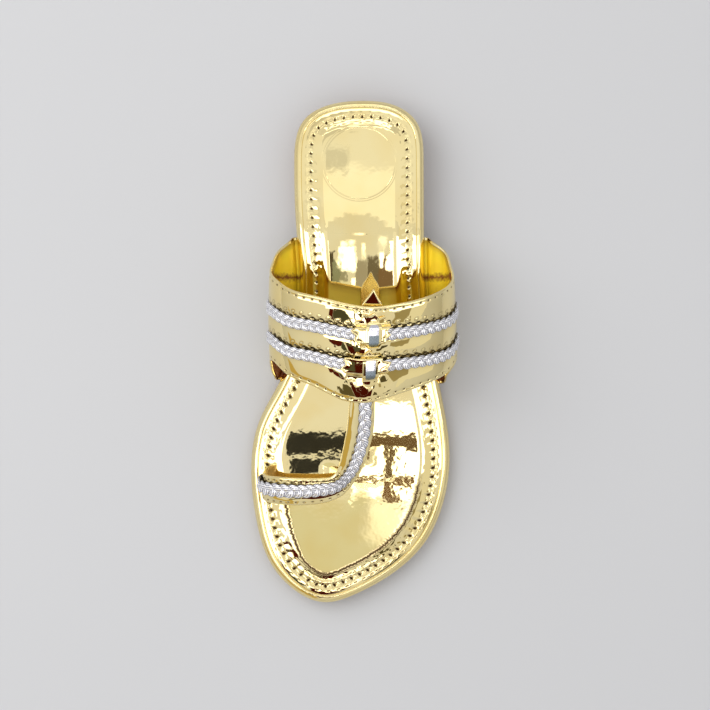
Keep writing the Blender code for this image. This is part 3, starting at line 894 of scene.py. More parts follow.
@dataclass(frozen=True)
class MetallicYarn(Finish):
    """Flat metallised polyester thread, twisted into yarn: cold white glints between lilac-grey shadows."""

    name: str = "silver_metallic_yarn"
    silver: str = "#FFFFFF"
    shade: str = "#76728E"
    # painted shade where the yarn is marked dark: between the yarns, along their sides and where the toe
    # braid turns
    gap: str = "#2B2630"  # between the yarns
    metallic: float = 0.6
    thread_mm: float = 0.8  # coarser than the real thread, so that it shows
    threads: tuple[float, float] = (0.7, 0.07)  # the strength and height of their bumps
    glints: tuple[float, float] = (0.6, 0.05)
    lay: float = 0.5  # the threads' angle to the yarn
    glints_per_mm: float = 2.6

    def surface(self, tree: Tree) -> Source:
        """Threads as a wave across the yarn's UV map, with painted lilac shade between them, painted shade in
        the gap colour where the yarn is marked dark, and glints from a fine noise.

        Args:
            tree: The material's nodes.

        Returns:
            The shader.
        """
        along = add_node(tree, "TexCoord").outputs["UV"]
        dark_marks = add_node(tree, "Attribute", attribute_name="dark").outputs["Fac"]
        turned = add_node(tree, "Mapping", {"Vector": along, "Rotation": (0, 0, self.lay)})
        wave = {"Vector": turned, "Scale": WAVE_UNIT / self.thread_mm, "Distortion": 1.2, "Detail Scale": 0.6}
        threads = add_node(tree, "TexWave", wave, bands_direction="Y").outputs["Fac"]
        glints = add_node(tree, "TexNoise", {"Vector": along, "Scale": self.glints_per_mm, "Detail": 2.0})
        lit = add_node(tree, "MapRange", {"Value": threads, "From Max": 0.45})
        shade, silver, gap = colour(self.shade), colour(self.silver), colour(self.gap)
        base = add_node(tree, "Mix", {0: lit, 6: shade, 7: silver}, data_type="RGBA").outputs[2]
        # painted shade: the gap colour where the yarn is marked dark
        base = add_node(tree, "Mix", {0: dark_marks, 6: base, 7: gap}, data_type="RGBA").outputs[2]
        spread = {"Value": glints, "From Min": 0.3, "From Max": 0.7, "To Min": 0.12, "To Max": 0.34}
        rough = add_node(tree, "MapRange", spread)
        inputs: dict = {}
        for rise, (strength, height) in ((threads, self.threads), (glints, self.glints)):
            bump = {"Height": rise, "Strength": strength, "Distance": height * MM, **inputs}
            inputs["Normal"] = add_node(tree, "Bump", bump)
        inputs.update({"Base Color": base, "Metallic": self.metallic, "Roughness": rough})
        return add_node(tree, "BsdfPrincipled", inputs)


@dataclass(frozen=True)
class MouldedRubber(Finish):
    """Tan moulded rubber: matt, with a fine mould texture and lighter scuffs."""

    name: str = "tan_moulded_rubber"
    tan: str = "#8A6238"
    scuff: str = "#A88355"
    roughness: float = 0.6
    scuff_mm: float = 9.0
    grain_mm: float = 0.6
    grain_height: float = 0.08

    def surface(self, tree: Tree) -> Source:
        """Tan with soft scuffs, and a fine grain as bump.

        Args:
            tree: The material's nodes.

        Returns:
            The shader.
        """
        place = add_node(tree, "TexCoord").outputs["Object"]
        scale = 1 / (self.scuff_mm * MM)
        cloud = add_node(tree, "TexNoise", {"Vector": place, "Scale": scale, "Detail": 5.0})
        share = add_node(tree, "MapRange", {"Value": cloud, "From Min": 0.45, "From Max": 0.8})
        base = add_node(tree, "Mix", {0: share, 6: colour(self.tan), 7: colour(self.scuff)}, data_type="RGBA")
        scale = 1 / (self.grain_mm * MM)
        grain = add_node(tree, "TexNoise", {"Vector": place, "Scale": scale, "Detail": 3.0})
        bump = add_node(tree, "Bump", {"Height": grain, "Strength": 0.5, "Distance": self.grain_height * MM})
        inputs = {"Base Color": base.outputs[2], "Roughness": self.roughness, "Normal": bump}
        return add_node(tree, "BsdfPrincipled", inputs)


@dataclass(frozen=True)
class Paper(Finish):
    """Matt studio background paper, with the faintest tooth."""

    name: str = "background_paper"
    tone: str = "#D2D2D3"
    tooth: str = "#CFCFD0"

    def surface(self, tree: Tree) -> Source:
        """A matt pale grey, a little uneven.

        Args:
            tree: The material's nodes.

        Returns:
            The shader.
        """
        place = add_node(tree, "TexCoord").outputs["Object"]
        rise = add_node(tree, "TexNoise", {"Vector": place, "Scale": 3.0, "Detail": 2.0})
        base = add_node(tree, "Mix", {0: rise, 6: colour(self.tone), 7: colour(self.tooth)}, data_type="RGBA")
        return add_node(tree, "BsdfPrincipled", {"Base Color": base.outputs[2], "Roughness": 0.9})


@dataclass(frozen=True)
class Glow(Finish):
    """A card or softbox that only mirrors see, with a hard edge or a soft ragged one."""

    name: str = "card"
    strength: float = 1.0
    soft: float = 0.0  # the share of the way from its edge to its middle over which it fades
    tint: str = "#FFFFFF"
    ragged: float = 0.6  # how far a noise moves the edge, as a share of soft

    def surface(self, tree: Tree) -> Source:
        """Plain light, or light that fades out towards the edges of the UV map, which a noise shifts.

        Args:
            tree: The material's nodes.

        Returns:
            The shader.
        """
        light = add_node(tree, "Emission", {"Color": colour(self.tint), "Strength": self.strength})
        if not self.soft:
            return light
        place = add_node(tree, "TexCoord").outputs["UV"]
        rag = add_node(tree, "TexNoise", {"Vector": place, "Scale": 4.0, "Detail": 3.0}).outputs["Color"]
        shift = self.ragged * self.soft
        inputs = {0: rag, 1: (shift, shift, 0), 2: place}
        moved = add_node(tree, "VectorMath", inputs, operation="MULTIPLY_ADD")
        middle = (-1 - shift, -1 - shift, 0)
        centred = add_node(tree, "Mapping", {"Vector": moved, "Location": middle, "Scale": (2, 2, 1)})
        away = add_node(tree, "VectorMath", {0: centred}, operation="ABSOLUTE")
        split = add_node(tree, "SeparateXYZ", {0: away})
        fades = []
        for axis in ("X", "Y"):
            ends = {"Value": split.outputs[axis], "From Min": 1.0, "From Max": 1.0 - self.soft}
            fades.append(add_node(tree, "MapRange", ends, interpolation_type="SMOOTHSTEP"))
        fade = add_node(tree, "Math", {0: fades[0], 1: fades[1]}, operation="MULTIPLY")
        return add_node(tree, "MixShader", {0: fade, 1: add_node(tree, "BsdfTransparent"), 2: light})


FOIL = MirrorFoil()
PAD_FOIL = InsoleFoil()
# the silver strip, whose teal-grey dark tone is a painted reflection on its front half
TIE_FOIL = MirrorFoil("mirror_silver_foil", "#F4F4FC", "#E4E3F2", "#4C6468", roughness=0.2, peel_height=0.01)
# the lining under the toe strap, whose ochre dark tone is painted shade
BACKING = MirrorFoil(
    "crinkled_gold_foil", "#FFFAEC", "#FFF6DC", "#CBA648", metallic=0.9, roughness=0.2, grain_height=0.08
)
LINING = SatinLining()
YARN = MetallicYarn()
RUBBER = MouldedRubber()


# ---- The sole -------------------------------------------------------------------------------------


@dataclass
class Outsole:
    """The rubber sheet underfoot: ribbed tread inside a plain border, and a square-cut wall."""

    steps: int = 640
    columns: int = 60
    wall: tuple = ((2.3, 0.0), (1.9, 0.12), (1.45, 0.4), (1.2, 0.8), (1.2, 2.6), (1.3, 2.9), (1.6, 3.0))
    border: tuple = ((7.2, 0.0), (7.0, 0.35), (6.2, 0.35), (6.0, 0.0))  # a channel round the tread
    rib_mm: float = 3.2
    rib_depth: float = 0.28

    def build(self) -> Piece:
        """Rings from the tread out and up the wall, closed by rungs below, which rise in ribs, and above.

        Returns:
            The outsole.
        """
        where = SOLE.steps(self.steps)
        rings = np.array(self.border + self.wall)
        points = SOLE.ring(where[None, :], rings[:, :1] + 0 * where, rings[:, 1:])
        tread = rungs(points[0], self.columns)
        edge = np.minimum(np.arange(self.columns), np.arange(self.columns)[::-1]) / 4
        rib = np.clip(1.4 * np.sin(TAU * tread[..., 1] / self.rib_mm) - 0.2, 0, 1) * np.clip(edge, 0, 1)
        tread[..., 2] = SOLE.underside(tread[..., 1]) + self.rib_depth * rib
        lid = rungs(points[-1], 8)
        lid[..., 2] = SOLE.underside(lid[..., 1]) + rings[-1, 1]
        draft = Draft().grid(points).grid(tread).grid(lid, flip=True)
        return draft.build("rubber_outsole", RUBBER, Slot.RUBBER, "outsole")


@dataclass
class Heel:
    """The low heel block, with a top-lift under a groove, and a hollow breast."""

    steps: int = 300
    breast_steps: int = 90
    breast_hollow: float = 3.0
    front_y: float = 62.0
    wall: tuple = (
        (2.7, 0.0), (2.35, 0.12), (2.2, 0.45), (2.15, 2.7), (2.25, 2.95), (2.6, 3.05), (2.6, 3.35),
        (2.1, 3.5), (1.95, 3.8), (1.45, 10.2), (1.6, 10.6),
    )

    def build(self) -> Piece:
        """Rings round the back and across the breast, an arc that bends in, closed at their middles.

        Returns:
            The heel.
        """
        fine = np.linspace(0, SOLE.length, 4000)
        behind = SOLE.curve(fine)[:, 1] > self.front_y + self.wall[0][0]
        outer_end = fine[np.argmin(behind)]
        inner_start = fine[len(fine) - np.argmin(behind[::-1])] - SOLE.length
        where = np.linspace(inner_start, outer_end, self.steps)
        share = np.linspace(0, 1, self.breast_steps + 2)[1:-1, None]
        rings = []
        for inset, height in self.wall:
            around = SOLE.points(where, np.full(len(where), inset))
            breast = (1 - share) * around[-1] + share * around[0]
            breast[:, 1] += self.breast_hollow * np.sin(math.pi * share[:, 0]) + inset - self.wall[0][0]
            loop = np.vstack([around, breast])
            rings.append(np.column_stack([loop, np.full(len(loop), height)]))
        return Draft().tube(np.array(rings)).build("rubber_heel", RUBBER, Slot.RUBBER, "heel")


@dataclass
class RolledEdge:
    """The padded roll round the sole, covered in foil that is pleated finely where it turns."""

    steps: int = 1300
    rings: int = 46
    profile: tuple = (
        (4.6, 3.3), (1.9, 3.3), (0.9, 3.9), (0.2, 5.0), (0.0, 6.2), (0.2, 7.3), (0.8, 8.35), (1.7, 9.15),
        (2.6, 9.58), (3.2, 9.62), (3.75, 9.3), (4.1, 8.4), (4.6, 7.0),
    )
    pleat_mm: float = 2.6
    pleat_height: float = 0.03
    bend_reach: float = 4.0  # how far to each side the edge's bend is measured
    bends: tuple[float, float] = (0.012, 0.06)  # the bend where pleats start to deepen, and are deepest
    band_lift: float = 2.5  # how far the roll's underside rises over the band's tucked feet
    band_y: tuple[float, float] = (-19.5, 60.0)  # where those feet begin and end
    wave_mm: float = 16.0
    wave_height: float = 0.05

    def build(self) -> Piece:
        """The profile carried round the edge, with pleats that deepen where it bends, closed by rungs.

        Returns:
            The roll.
        """
        where = SOLE.steps(self.steps)
        profile = np.array(self.profile)
        knots = chord_knots(profile)
        lip = cubic_spline(knots, profile)(np.linspace(0, knots[-1], self.rings))
        lip[0], lip[-1] = profile[0], profile[-1]
        inset, height = lip[:, :1] + 0 * where, lip[:, 1:] + 0 * where
        flat = SOLE.curve(where)
        sides = [SOLE.curve(np.mod(where + way, SOLE.length)) for way in (self.bend_reach, -self.bend_reach)]
        turn = np.linalg.norm(sides[0] + sides[1] - 2 * flat, axis=-1) / self.bend_reach**2
        bend = step(turn, *self.bends)
        crease = swell(where[None, :], 3 * lip[:, :1], self.pleat_mm, 11)
        top = step(lip[:, 1:], 4.5, 6.0)
        crease *= self.pleat_height * (0.25 + bend) * top
        wave = self.wave_height * swell(where, 0 * where, self.wave_mm, 12) * top
        front, back = (step(flat[:, 1], y - 1, y + 1) for y in self.band_y)
        feet = front * (1 - back)
        under = 1 - step(lip[:, 1:], 4.2, 6.8)
        rise = self.band_lift * feet * under * step(4.7 - inset, -0.2, 0.4)
        points = SOLE.ring(where[None, :], inset, height + crease + wave + rise)
        points[:, -1] = points[:, 0]
        uv = np.stack(np.broadcast_arrays(where, np.linspace(0, 9, self.rings)[:, None]), axis=-1)
        draft = Draft().grid(points, uv=uv).grid(rungs(points[0], 6)).grid(rungs(points[-1], 6), flip=True)
        return draft.build("rolled_edge", FOIL, Slot.FOIL, "midsole")


@dataclass
class InsolePad:
    """The padded insole: a stitched border round a mirror-smooth pad, with a well for each toe leg."""

    steps: int = 1440
    rings: int = 46
    columns: int = 44
    profile: tuple = (
        (3.5, 8.7), (3.6, 9.15), (3.8, 9.45), (4.4, 9.66), (5.3, 9.88), (6.4, 10.02), (8.0, 9.92),
        (8.9, 9.96), (9.7, 10.2), (10.6, 10.62), (11.6, 11.1), (12.5, 11.46), (13.4, 11.7), (14.3, 11.83),
        (15.3, 11.87),
    )
    stitches: int = 120
    seam: float = 8.3  # the stitches' inset
    outer_seam: float = 5.7
    hole: tuple[float, float] = (0.48, 0.6)  # half length and half width
    hole_growth: tuple[float, float] = (0.12, 0.28)  # how much more they are at the forefoot
    hole_depth: float = 0.75
    dash_depth: float = 0.3
    pucker: float = 0.07
    crown: float = 0.12
    spread: float = 2.0  # how much wider the pad's shoulder is beside the ball, on the inner side
    arch_slope: float = 0.132  # how steeply the padding falls over the waist
    arch_start: tuple[float, float] = (60.5, 51.5)  # the y where it starts to fall, and where it is so steep
    arch_front: tuple = (  # y, and how deep the padding is
        (14, 2.7), (5, 2.3), (-5, 0.8), (-13, 0.08), (-19, 0.0), (-40, 0.0),
    )
    toe_flat: float = 0.78  # how much of the toe spring the padding fills
    waves: tuple = ((0.016, 46, 3, 5), (0.003, 11, 4, 7))  # height, wavelength, seed and how many sines
    ripples: tuple = ((0.005, 7, 5, 6, 0.4), (0.0014, 3.2, 6, 8, 0.5))  # and how drawn out, behind the band
    wells: tuple = ((-38.7, -62.2, 1.4, 4.8), (-10.2, -62.5, 1.0, 4.4))  # x, y and half sizes of their floors
    well_depth: float = 0.08
    well_reach: float = 1.9
    crease: tuple[float, float, float] = (14.3, 0.8, 0.03)  # the toe crease's inset, half width and depth

    def support(self, y: Array) -> Array:
        """The padding under the arch: a smooth step in slope from the heel, then knots down to the ball.

        Args:
            y: Places along the shoe.

        Returns:
            How deep the padding is there.
        """
        fine = np.linspace(66, 24, 169)
        fall = np.cumsum(self.arch_slope * step(fine, *self.arch_start)) * (fine[0] - fine[1])
        deep = SOLE.underside(fine[0]) - fall - SOLE.underside(fine)
        knots = np.vstack([np.stack([fine, deep], axis=-1)[::8], self.arch_front])[::-1]
        return graph(knots)(y)

    def surface(self, x: Array, y: Array) -> Array:
        """What the smooth pad adds to its profile: soft waves, the padding under the arch, and the wells.

        Args:
            x: Places over the shoe.
            y: Places along it.

        Returns:
            How much higher the pad is there.
        """
        height = self.support(y)
        for tall, size, seed, sines in self.waves:
            height += tall * swell(x, y, size, seed, sines)
        height -= self.toe_flat * (SOLE.underside(y) * (y < SOLE.spring_start_y))
        for tall, size, seed, sines, squeeze in self.ripples:
            height += hump(y - 45, 16) * tall * swell(x, squeeze * y, size, seed, sines)
        for at_x, at_y, half_x, half_y in self.wells:
            out_x, out_y = np.abs(x - at_x) - half_x, np.abs(y - at_y) - half_y
            away = np.hypot(np.maximum(out_x, 0), np.maximum(out_y, 0))
            height -= self.well_depth * hump(away, self.well_reach)
        return height

    def sewing(self, where: Array, inset: Array) -> tuple[Array, Array]:
        """What the two rows of stitches do to the border.

        Args:
            where: Distances round the sole's edge.
            inset: How far inside it each point is.

        Returns:
            How much higher each point is, and how dark, as painted shade in the holes, chevrons and dashes.
        """
        seam = SOLE.points(where, np.full(len(where), self.seam))
        run = chord_knots(seam)
        count, pitch = run / run[-1] * self.stitches, run[-1] / self.stitches
        away = inset - self.seam
        fore = 1 - step(seam[:, 1], -30, 10)
        ahead = np.where(where < SOLE.tip, 1.0, -1.0)  # towards the toe
        slant = count[None, :] - ahead * 0.07 * away
        off = (slant - np.floor(slant + 0.5)) * pitch  # along from the nearest hole
        long, wide = (size + more * fore for size, more in zip(self.hole, self.hole_growth))
        hole = hump(off, long) * hump(away, wide)
        # a chevron beside each hole, where the thread pulls, darkened as a painted shadow
        tick = hump(off * ahead - 0.9 - 0.8 * np.abs(away), 0.35) * hump(away, 1.3)
        # the pad's foot, puffed up between stitches and drawn in at each
        scallop = np.abs(np.sin(math.pi * slant))
        puff = hump(away - 1.5, 1.0) * scallop - hump(away - 2.6, 0.8) * (1 - scallop)
        outer_off = (count + 0.25 - np.floor(count + 0.75)) * pitch
        dash = hump(outer_off, 0.75) * hump(inset - self.outer_seam, 0.3) * (0.15 + 0.45 * fore)
        raised = self.pucker * (puff - tick) - self.hole_depth * hole - self.dash_depth * dash
        # painted shade: the holes, the chevrons and the outer dashes are darkened
        return raised, 1.9 * hole + 0.25 * tick + dash

    def build(self) -> Piece:
        """Rings of the profile with stitches, then rungs over the pad, raised by a low crown.

        Returns:
            The pad.
        """
        where = SOLE.steps(self.steps)
        profile = np.array(self.profile)
        knots = chord_knots(profile)
        lip = cubic_spline(knots, profile)(np.linspace(0, knots[-1], self.rings))
        inset = lip[:, :1] + 0 * where
        y = SOLE.points(where, np.full(len(where), self.seam))[:, 1]
        inner = (where > SOLE.tip) * step(y, -112, -98) * (1 - step(y, -66, -50))
        spread = self.spread * inner * step(inset, 9.0, profile[-1, 0])
        raised, mark = self.sewing(where, inset)
        raised += 0.025 * swell(where, 4 * inset, 6, 21) * step(inset, 4.9, 6) * (1 - step(inset, 12.5, 14))
        ragged = 0.3 * swell(where, 0 * inset, 1.6, 31) + 0.2 * swell(where, 0 * inset, 4.5, 32)
        middle, half, deep = self.crease
        crease = hump(inset - middle + ragged, half) * (1 - step(y, -70, -60))
        points = SOLE.ring(where[None, :], inset + spread, lip[:, 1:] + raised - deep * crease)
        points[..., 2] += step(inset, 9.5, 12.5) * self.surface(points[..., 0], points[..., 1])
        points[:, -1] = points[:, 0]
        pad = rungs(points[-1], self.columns)
        x, y = pad[..., 0], pad[..., 1]
        width = np.linalg.norm(pad[:, -1] - pad[:, 0], axis=-1)[:, None]
        arch = np.sin(math.pi * np.linspace(0, 1, self.columns)) ** 2
        pad[..., 2] = SOLE.underside(y) + profile[-1, 1] + self.surface(x, y)
        pad[..., 2] += self.crown * arch * step(width, 0, 50)
        pad[:, 0], pad[:, -1] = points[-1, : len(pad)], points[-1, ::-1][: len(pad)]
        # the darkness is painted shade, in the stitches and along the toe crease
        draft = Draft().grid(points, mark=np.clip(mark + crease, 0, 1)).grid(pad, flip=True)
        piece = draft.grid(rungs(points[0], 6)).build("insole_pad", PAD_FOIL, Slot.INSOLE, "insole")
        return piece


# ---- The upper ------------------------------------------------------------------------------------


def crowd(length: float, zones: Any, fine: float, coarse: float) -> Array:
    """Shares of a length whose spacing is fine in the zones and coarse between them.

    Args:
        length: In millimetres.
        zones: The start and end of each zone that needs fine steps.
        fine: The spacing there.
        coarse: The spacing elsewhere.

    Returns:
        Shares from 0 to 1.
    """
    places = np.linspace(0, length, 2000)
    need = np.full(2000, 1 / coarse)
    for start, end in zones:
        need += (1 / fine - 1 / coarse) * step(places, start - 1, start) * (1 - step(places, end, end + 1))
    total = np.cumsum(need) * length / 2000
    return np.interp(np.linspace(total[0], total[-1], int(total[-1]) + 2), total, places) / length


@dataclass
class Seam:
    """A row of stitches: a shallow groove with a deep hole at each stitch."""

    pitch: float = 4.5
    hole: tuple[float, float] = (0.5, 0.36)  # half length and half width
    depth: float = 0.45
    groove: float = 0.1

    def read(self, along: Array, off: Array, phase: float = 0.0) -> tuple[Array, Array]:
        """Reads the row.

        Args:
            along: Distances along it.
            off: Distances to its side.
            phase: Where its first hole is, in stitches.

        Returns:
            How deep it is, and how dark, as painted shade in its holes.
        """
        turn = along / self.pitch + phase
        near = (turn - np.floor(turn + 0.5)) * self.pitch
        half_length, half_width = self.hole
        hole = hump(near, half_length) * hump(off, half_width)
        halo = hump(near, 2.2 * half_length) * hump(off, 2.0 * half_width)
        deep = self.depth * hole + self.groove * hump(off, 0.7) + 0.08 * self.depth * halo
        return deep, np.clip(1.5 * hole, 0, 1)


def braid_line(shares: Any) -> Callable[[Any], Array]:
    """The share of the band's width at the middle of a braid, for distances along the band."""
    ends = ("rise inner", "side inner", "ridge", "side outer", "rise outer")
    return graph([(BAND_STRIP.knot[row], share) for row, share in zip(ends, shares)])


LINES = {name: braid_line(shares) for name, *shares in BRAID_LINES}
LINING_GAP = 0.04  # how far a lining reaches into its skin


@dataclass
class InstepBand:
    """The wide band over the instep: mirror foil outside, stitched at both edges, and a satin lining."""

    skin: float = 1.35
    wall: float = 2.0
    bed: float = 3.3  # half the width of the strip that a braid covers
    seam: Seam = field(default_factory=Seam)
    seam_in: float = 1.9
    pillow: float = 0.16  # how high the foil puffs up between its braids
    dimple_mm: float = 4.8  # the pitch of the dimples behind each braid
    dimple_out: float = 1.8  # how far they are from its bed
    dimple_height: float = 0.05
    bed_depth: float = 0.15
    slot_along: float = 1.2  # how far along from each dimple the slot is that the braid is sewn through
    slot_depth: float = 0.3
    crumples: tuple = ((12, 0.16, 31), (4, 0.012, 32))  # fold size, height and seed, by the patches
    rim: float = 1.2
    fine: float = 0.26  # the spacing of points where there is detail
    arch: tuple[float, float] = (-52.0, 50.0)  # where that is along the band, from its ridge
    details: tuple = ((0, 3.4), (7.2, 11.0), (22.0, 26.0), (42.6, 46))  # and across it: seams and slots

    def seams(self, along: Array, place: Array, part: int) -> Array:
        """How deep both edge seams are (part 0), or how dark (part 1).

        Args:
            along: Distances along the strip.
            place: How far they are from its back edge.
            part: Which of the two.

        Returns:
            The depth or darkness.
        """
        u = along - BAND_STRIP.knot["ridge"]
        sides = ((place - self.seam_in, 0.2), (BAND_STRIP.width(along) - place - self.seam_in, 0.6))
        return sum(self.seam.read(u, off, phase)[part] for off, phase in sides)

    def dimples(self, along: Array, off: Array) -> tuple[Array, Array]:
        """The distance along from the nearest dimple, and the distance from its middle, as a slanted oval.

        Args:
            along: Distances along the strip.
            off: How far ahead of the braid's middle.

        Returns:
            Both distances.
        """
        turn = (along - BAND_STRIP.knot["ridge"]) / self.dimple_mm
        near = (turn - np.floor(turn + 0.5)) * self.dimple_mm
        behind = off + self.bed + self.dimple_out
        return near, np.hypot(near + 0.3 * behind, 1.25 * behind)

    def relief(self, along: Array, share: Array) -> Array:
        """How far the foil stands out: pillows, seams, dimples, and crumples by the patches.

        Args:
            along: Distances along the strip.
            share: Shares of its width.

        Returns:
            The height at each point.
        """
        width = BAND_STRIP.width(along)
        place = share * width
        u = along - BAND_STRIP.knot["ridge"]
        height = 0.0 * place
        start = 0 * place
        for name in ("back", "front", ""):
            middle = LINES[name](along) * width if name else width + self.bed
            inside = np.clip((place - start) / (middle - self.bed - start), 0, 1)
            height += self.pillow * np.sin(math.pi * inside) ** 0.6 * (inside > 0) * (inside < 1)
            start = middle + self.bed
        for name in ("back", "front"):
            off = place - LINES[name](along) * width
            near, ring = self.dimples(along, off)
            height += self.dimple_height * (hump(ring, 0.9) - hump(ring - 1.1, 0.3))
            height -= self.bed_depth * hump(off, 2.4)
            height -= self.slot_depth * hump(near - self.slot_along, 0.9) * hump(off + self.bed + 0.1, 0.5)
        height -= self.seams(along, place, 0)
        for size, tall, seed in self.crumples:
            height += hump(u - 1, 17) * tall * crumple(u, place, size, seed)
        height += 0.10 * swell(u, place, 17, 33) + 0.018 * crumple(u, place, 9, 34)
        return height * np.clip(np.minimum(place, width - place) / self.rim, 0, 1)

    def dark(self, along: Array, share: Array) -> Array:
        """Where the foil is pierced or shadowed.

        Args:
            along: Distances along the strip.
            share: Shares of its width.

        Returns:
            How dark each point is.
        """
        place = share * BAND_STRIP.width(along)
        total = self.seams(along, place, 1)
        for name in ("back", "front"):
            off = place - LINES[name](along) * BAND_STRIP.width(along)
            near, ring = self.dimples(along, off)
            # painted shade: an outline round each dimple, a dark strip under the braid, and the slots that it
            # is sewn through
            total += 0.5 * hump(ring - 1.0, 0.24) + 0.8 * hump(off, 2.6)
            total += 0.75 * hump(near - self.slot_along, 0.9) * hump(off + self.bed + 0.1, 0.42)
        return np.clip(total, 0, 1)

    def build(self) -> tuple[Piece, Piece]:
        """The skin, with rounded edges, and the lining just inside it, with painted shade along its own
        edges.

        Returns:
            The skin and the lining.
        """
        length, ridge = BAND_STRIP.knots[-1], BAND_STRIP.knot["ridge"]
        arch = [ridge + end for end in self.arch]
        along = length * crowd(length, (arch,), self.fine, 0.6)
        across = crowd(46, self.details, self.fine, 0.62)
        points, uv, mark = shell(BAND_STRIP, along, across, self.skin, relief=self.relief, dark=self.dark)
        skin = Draft().tube(points, flip=True, uv=uv, mark=mark).build("band_skin", FOIL, Slot.FOIL, "upper")
        across, inner, top = np.linspace(0, 1, 30), self.wall - self.skin, LINING_GAP - self.skin
        points, uv, _ = shell(BAND_STRIP, along[::2], across, inner, top, edge=(0.018, 0.982))
        place = uv[:, :-1, 1]
        off = np.minimum(place - place.min(axis=1)[:, None], place.max(axis=1)[:, None] - place)
        # painted shade along the lining's edges
        lining = Draft().tube(points, flip=True, uv=uv, mark=0.6 * hump(off, 2.4))
        return skin, lining.build("band_lining", LINING, Slot.FOIL, "upper")


@dataclass
class ToeStrap:
    """The strap that runs from under the band to the toes and turns into the toe loop, with its inner leg."""

    skin: float = 1.1
    wall: float = 2.0
    rows: int = 520
    seam: Seam = field(default_factory=lambda: Seam(3.8, (0.45, 0.32), 0.35, 0.08))
    seam_in: float = 1.75
    pillow: float = 0.22
    rim: float = 0.8
    bed_depth: float = 0.12
    crumple_height: float = 0.05
    # painted shade: how much darker and duller the lining is from the instep on
    dark_matt: float = 0.85  # how dull the lining is from the instep on

    def seams(self, along: Array, share: Array, part: int) -> Array:
        """How deep both edge seams are round the loop (part 0), or how dark (part 1).

        Args:
            along: Distances along the strip.
            share: Shares of its width.
            part: Which of the two.

        Returns:
            The depth or darkness.
        """
        width = TOE_STRIP.width(along)
        sides = (share * width - self.seam_in, (1 - share) * width - self.seam_in)
        return sum(self.seam.read(along, off)[part] for off in sides) * (along > TOE_STRIP.knot["bend"])

    def relief(self, along: Array, share: Array) -> Array:
        """Pillows beside the braid, a seam outside each of its edges, and small crumples.

        Args:
            along: Distances along the strip.
            share: Shares of its width.

        Returns:
            The height at each point.
        """
        width = TOE_STRIP.width(along)
        place = share * width
        low, high = self.braid(along)
        away = step(along, TOE_STRIP.knot["tail root"], TOE_STRIP.knot["under front"])
        height = -self.bed_depth * hump((share - (low + high) / 2) * width, 3.0)
        for beside in (share / low, (1 - share) / (1 - high)):
            height += self.pillow * np.sin(math.pi * np.clip(beside, 0, 1))
        height += self.crumple_height * (crumple(along, place, 6, 41) + swell(along, place, 8, 42))
        height = height * away - (1 - away) * TOE_STRIP.rise(along, share) - self.seams(along, share, 0)
        return height * np.clip(np.minimum(share, 1 - share) * width / self.rim, 0, 1)

    def dark(self, along: Array, share: Array) -> Array:
        """Where the foil is pierced, and painted shade under the braid.

        Args:
            along: Distances along the strip.
            share: Shares of its width.

        Returns:
            How dark each point is.
        """
        low, high = self.braid(along)
        off = (share - (low + high) / 2) * TOE_STRIP.width(along)
        # painted shade under the braid, from where the strap leaves the band
        under = 0.7 * hump(off, 2.4) * (along > TOE_STRIP.knot["under front"])
        return np.clip(under + self.seams(along, share, 1), 0, 1)

    @staticmethod
    def wrinkle(along: Array, share: Array) -> Array:
        """The creases of the post."""
        return 0.12 * crumple(along, 9 * share, 7, 51) * np.sin(math.pi * share)

    @staticmethod
    def braid(along: Array) -> tuple[Array, Array]:
        """The shares of the width at the braid's two edges."""
        return TOE_EDGES[0](along), TOE_EDGES[1](along)

    def build(self) -> list[Piece]:
        """The strap's skin and lining, and the post between the toes.

        Returns:
            The three pieces.
        """
        along = np.linspace(TOE_STRIP.knots[0], TOE_STRIP.knots[-1], self.rows)
        across = np.linspace(0, 1, 44)
        points, uv, mark = shell(TOE_STRIP, along, across, self.skin, 0, self.relief, self.dark)
        skin = Draft().tube(points, uv=uv, mark=mark)
        across, inner, top = np.linspace(0, 1, 16), self.wall - self.skin, LINING_GAP - self.skin
        points, uv, _ = shell(TOE_STRIP, along[::2], across, inner, top, edge=(0.02, 0.98))
        # painted shade over the lining from the instep on
        dark_matt = self.dark_matt * step(along[::2], TOE_STRIP.knot["under front"], TOE_STRIP.knot["instep"])
        lining = Draft().tube(points, uv=uv, mark=dark_matt[:, None] + 0 * points[..., 0])
        along = np.linspace(POST_STRIP.knots[0], POST_STRIP.knots[-1], 90)
        points, uv, _ = shell(POST_STRIP, along, np.linspace(0, 1, 30), self.wall, 0, self.wrinkle)
        return [
            skin.build("toe_strap_skin", FOIL, Slot.FOIL, "upper"),
            lining.build("toe_strap_lining", BACKING, Slot.FOIL, "upper"),
            Draft().tube(points, uv=uv).build("toe_post", FOIL, Slot.FOIL, "upper"),
        ]


TOE_EDGES = [graph([(TOE_STRIP.knot[row[0]], row[side]) for row in TOE_BRAID]) for side in (1, 2)]


# ---- The braids and the patches -------------------------------------------------------------------


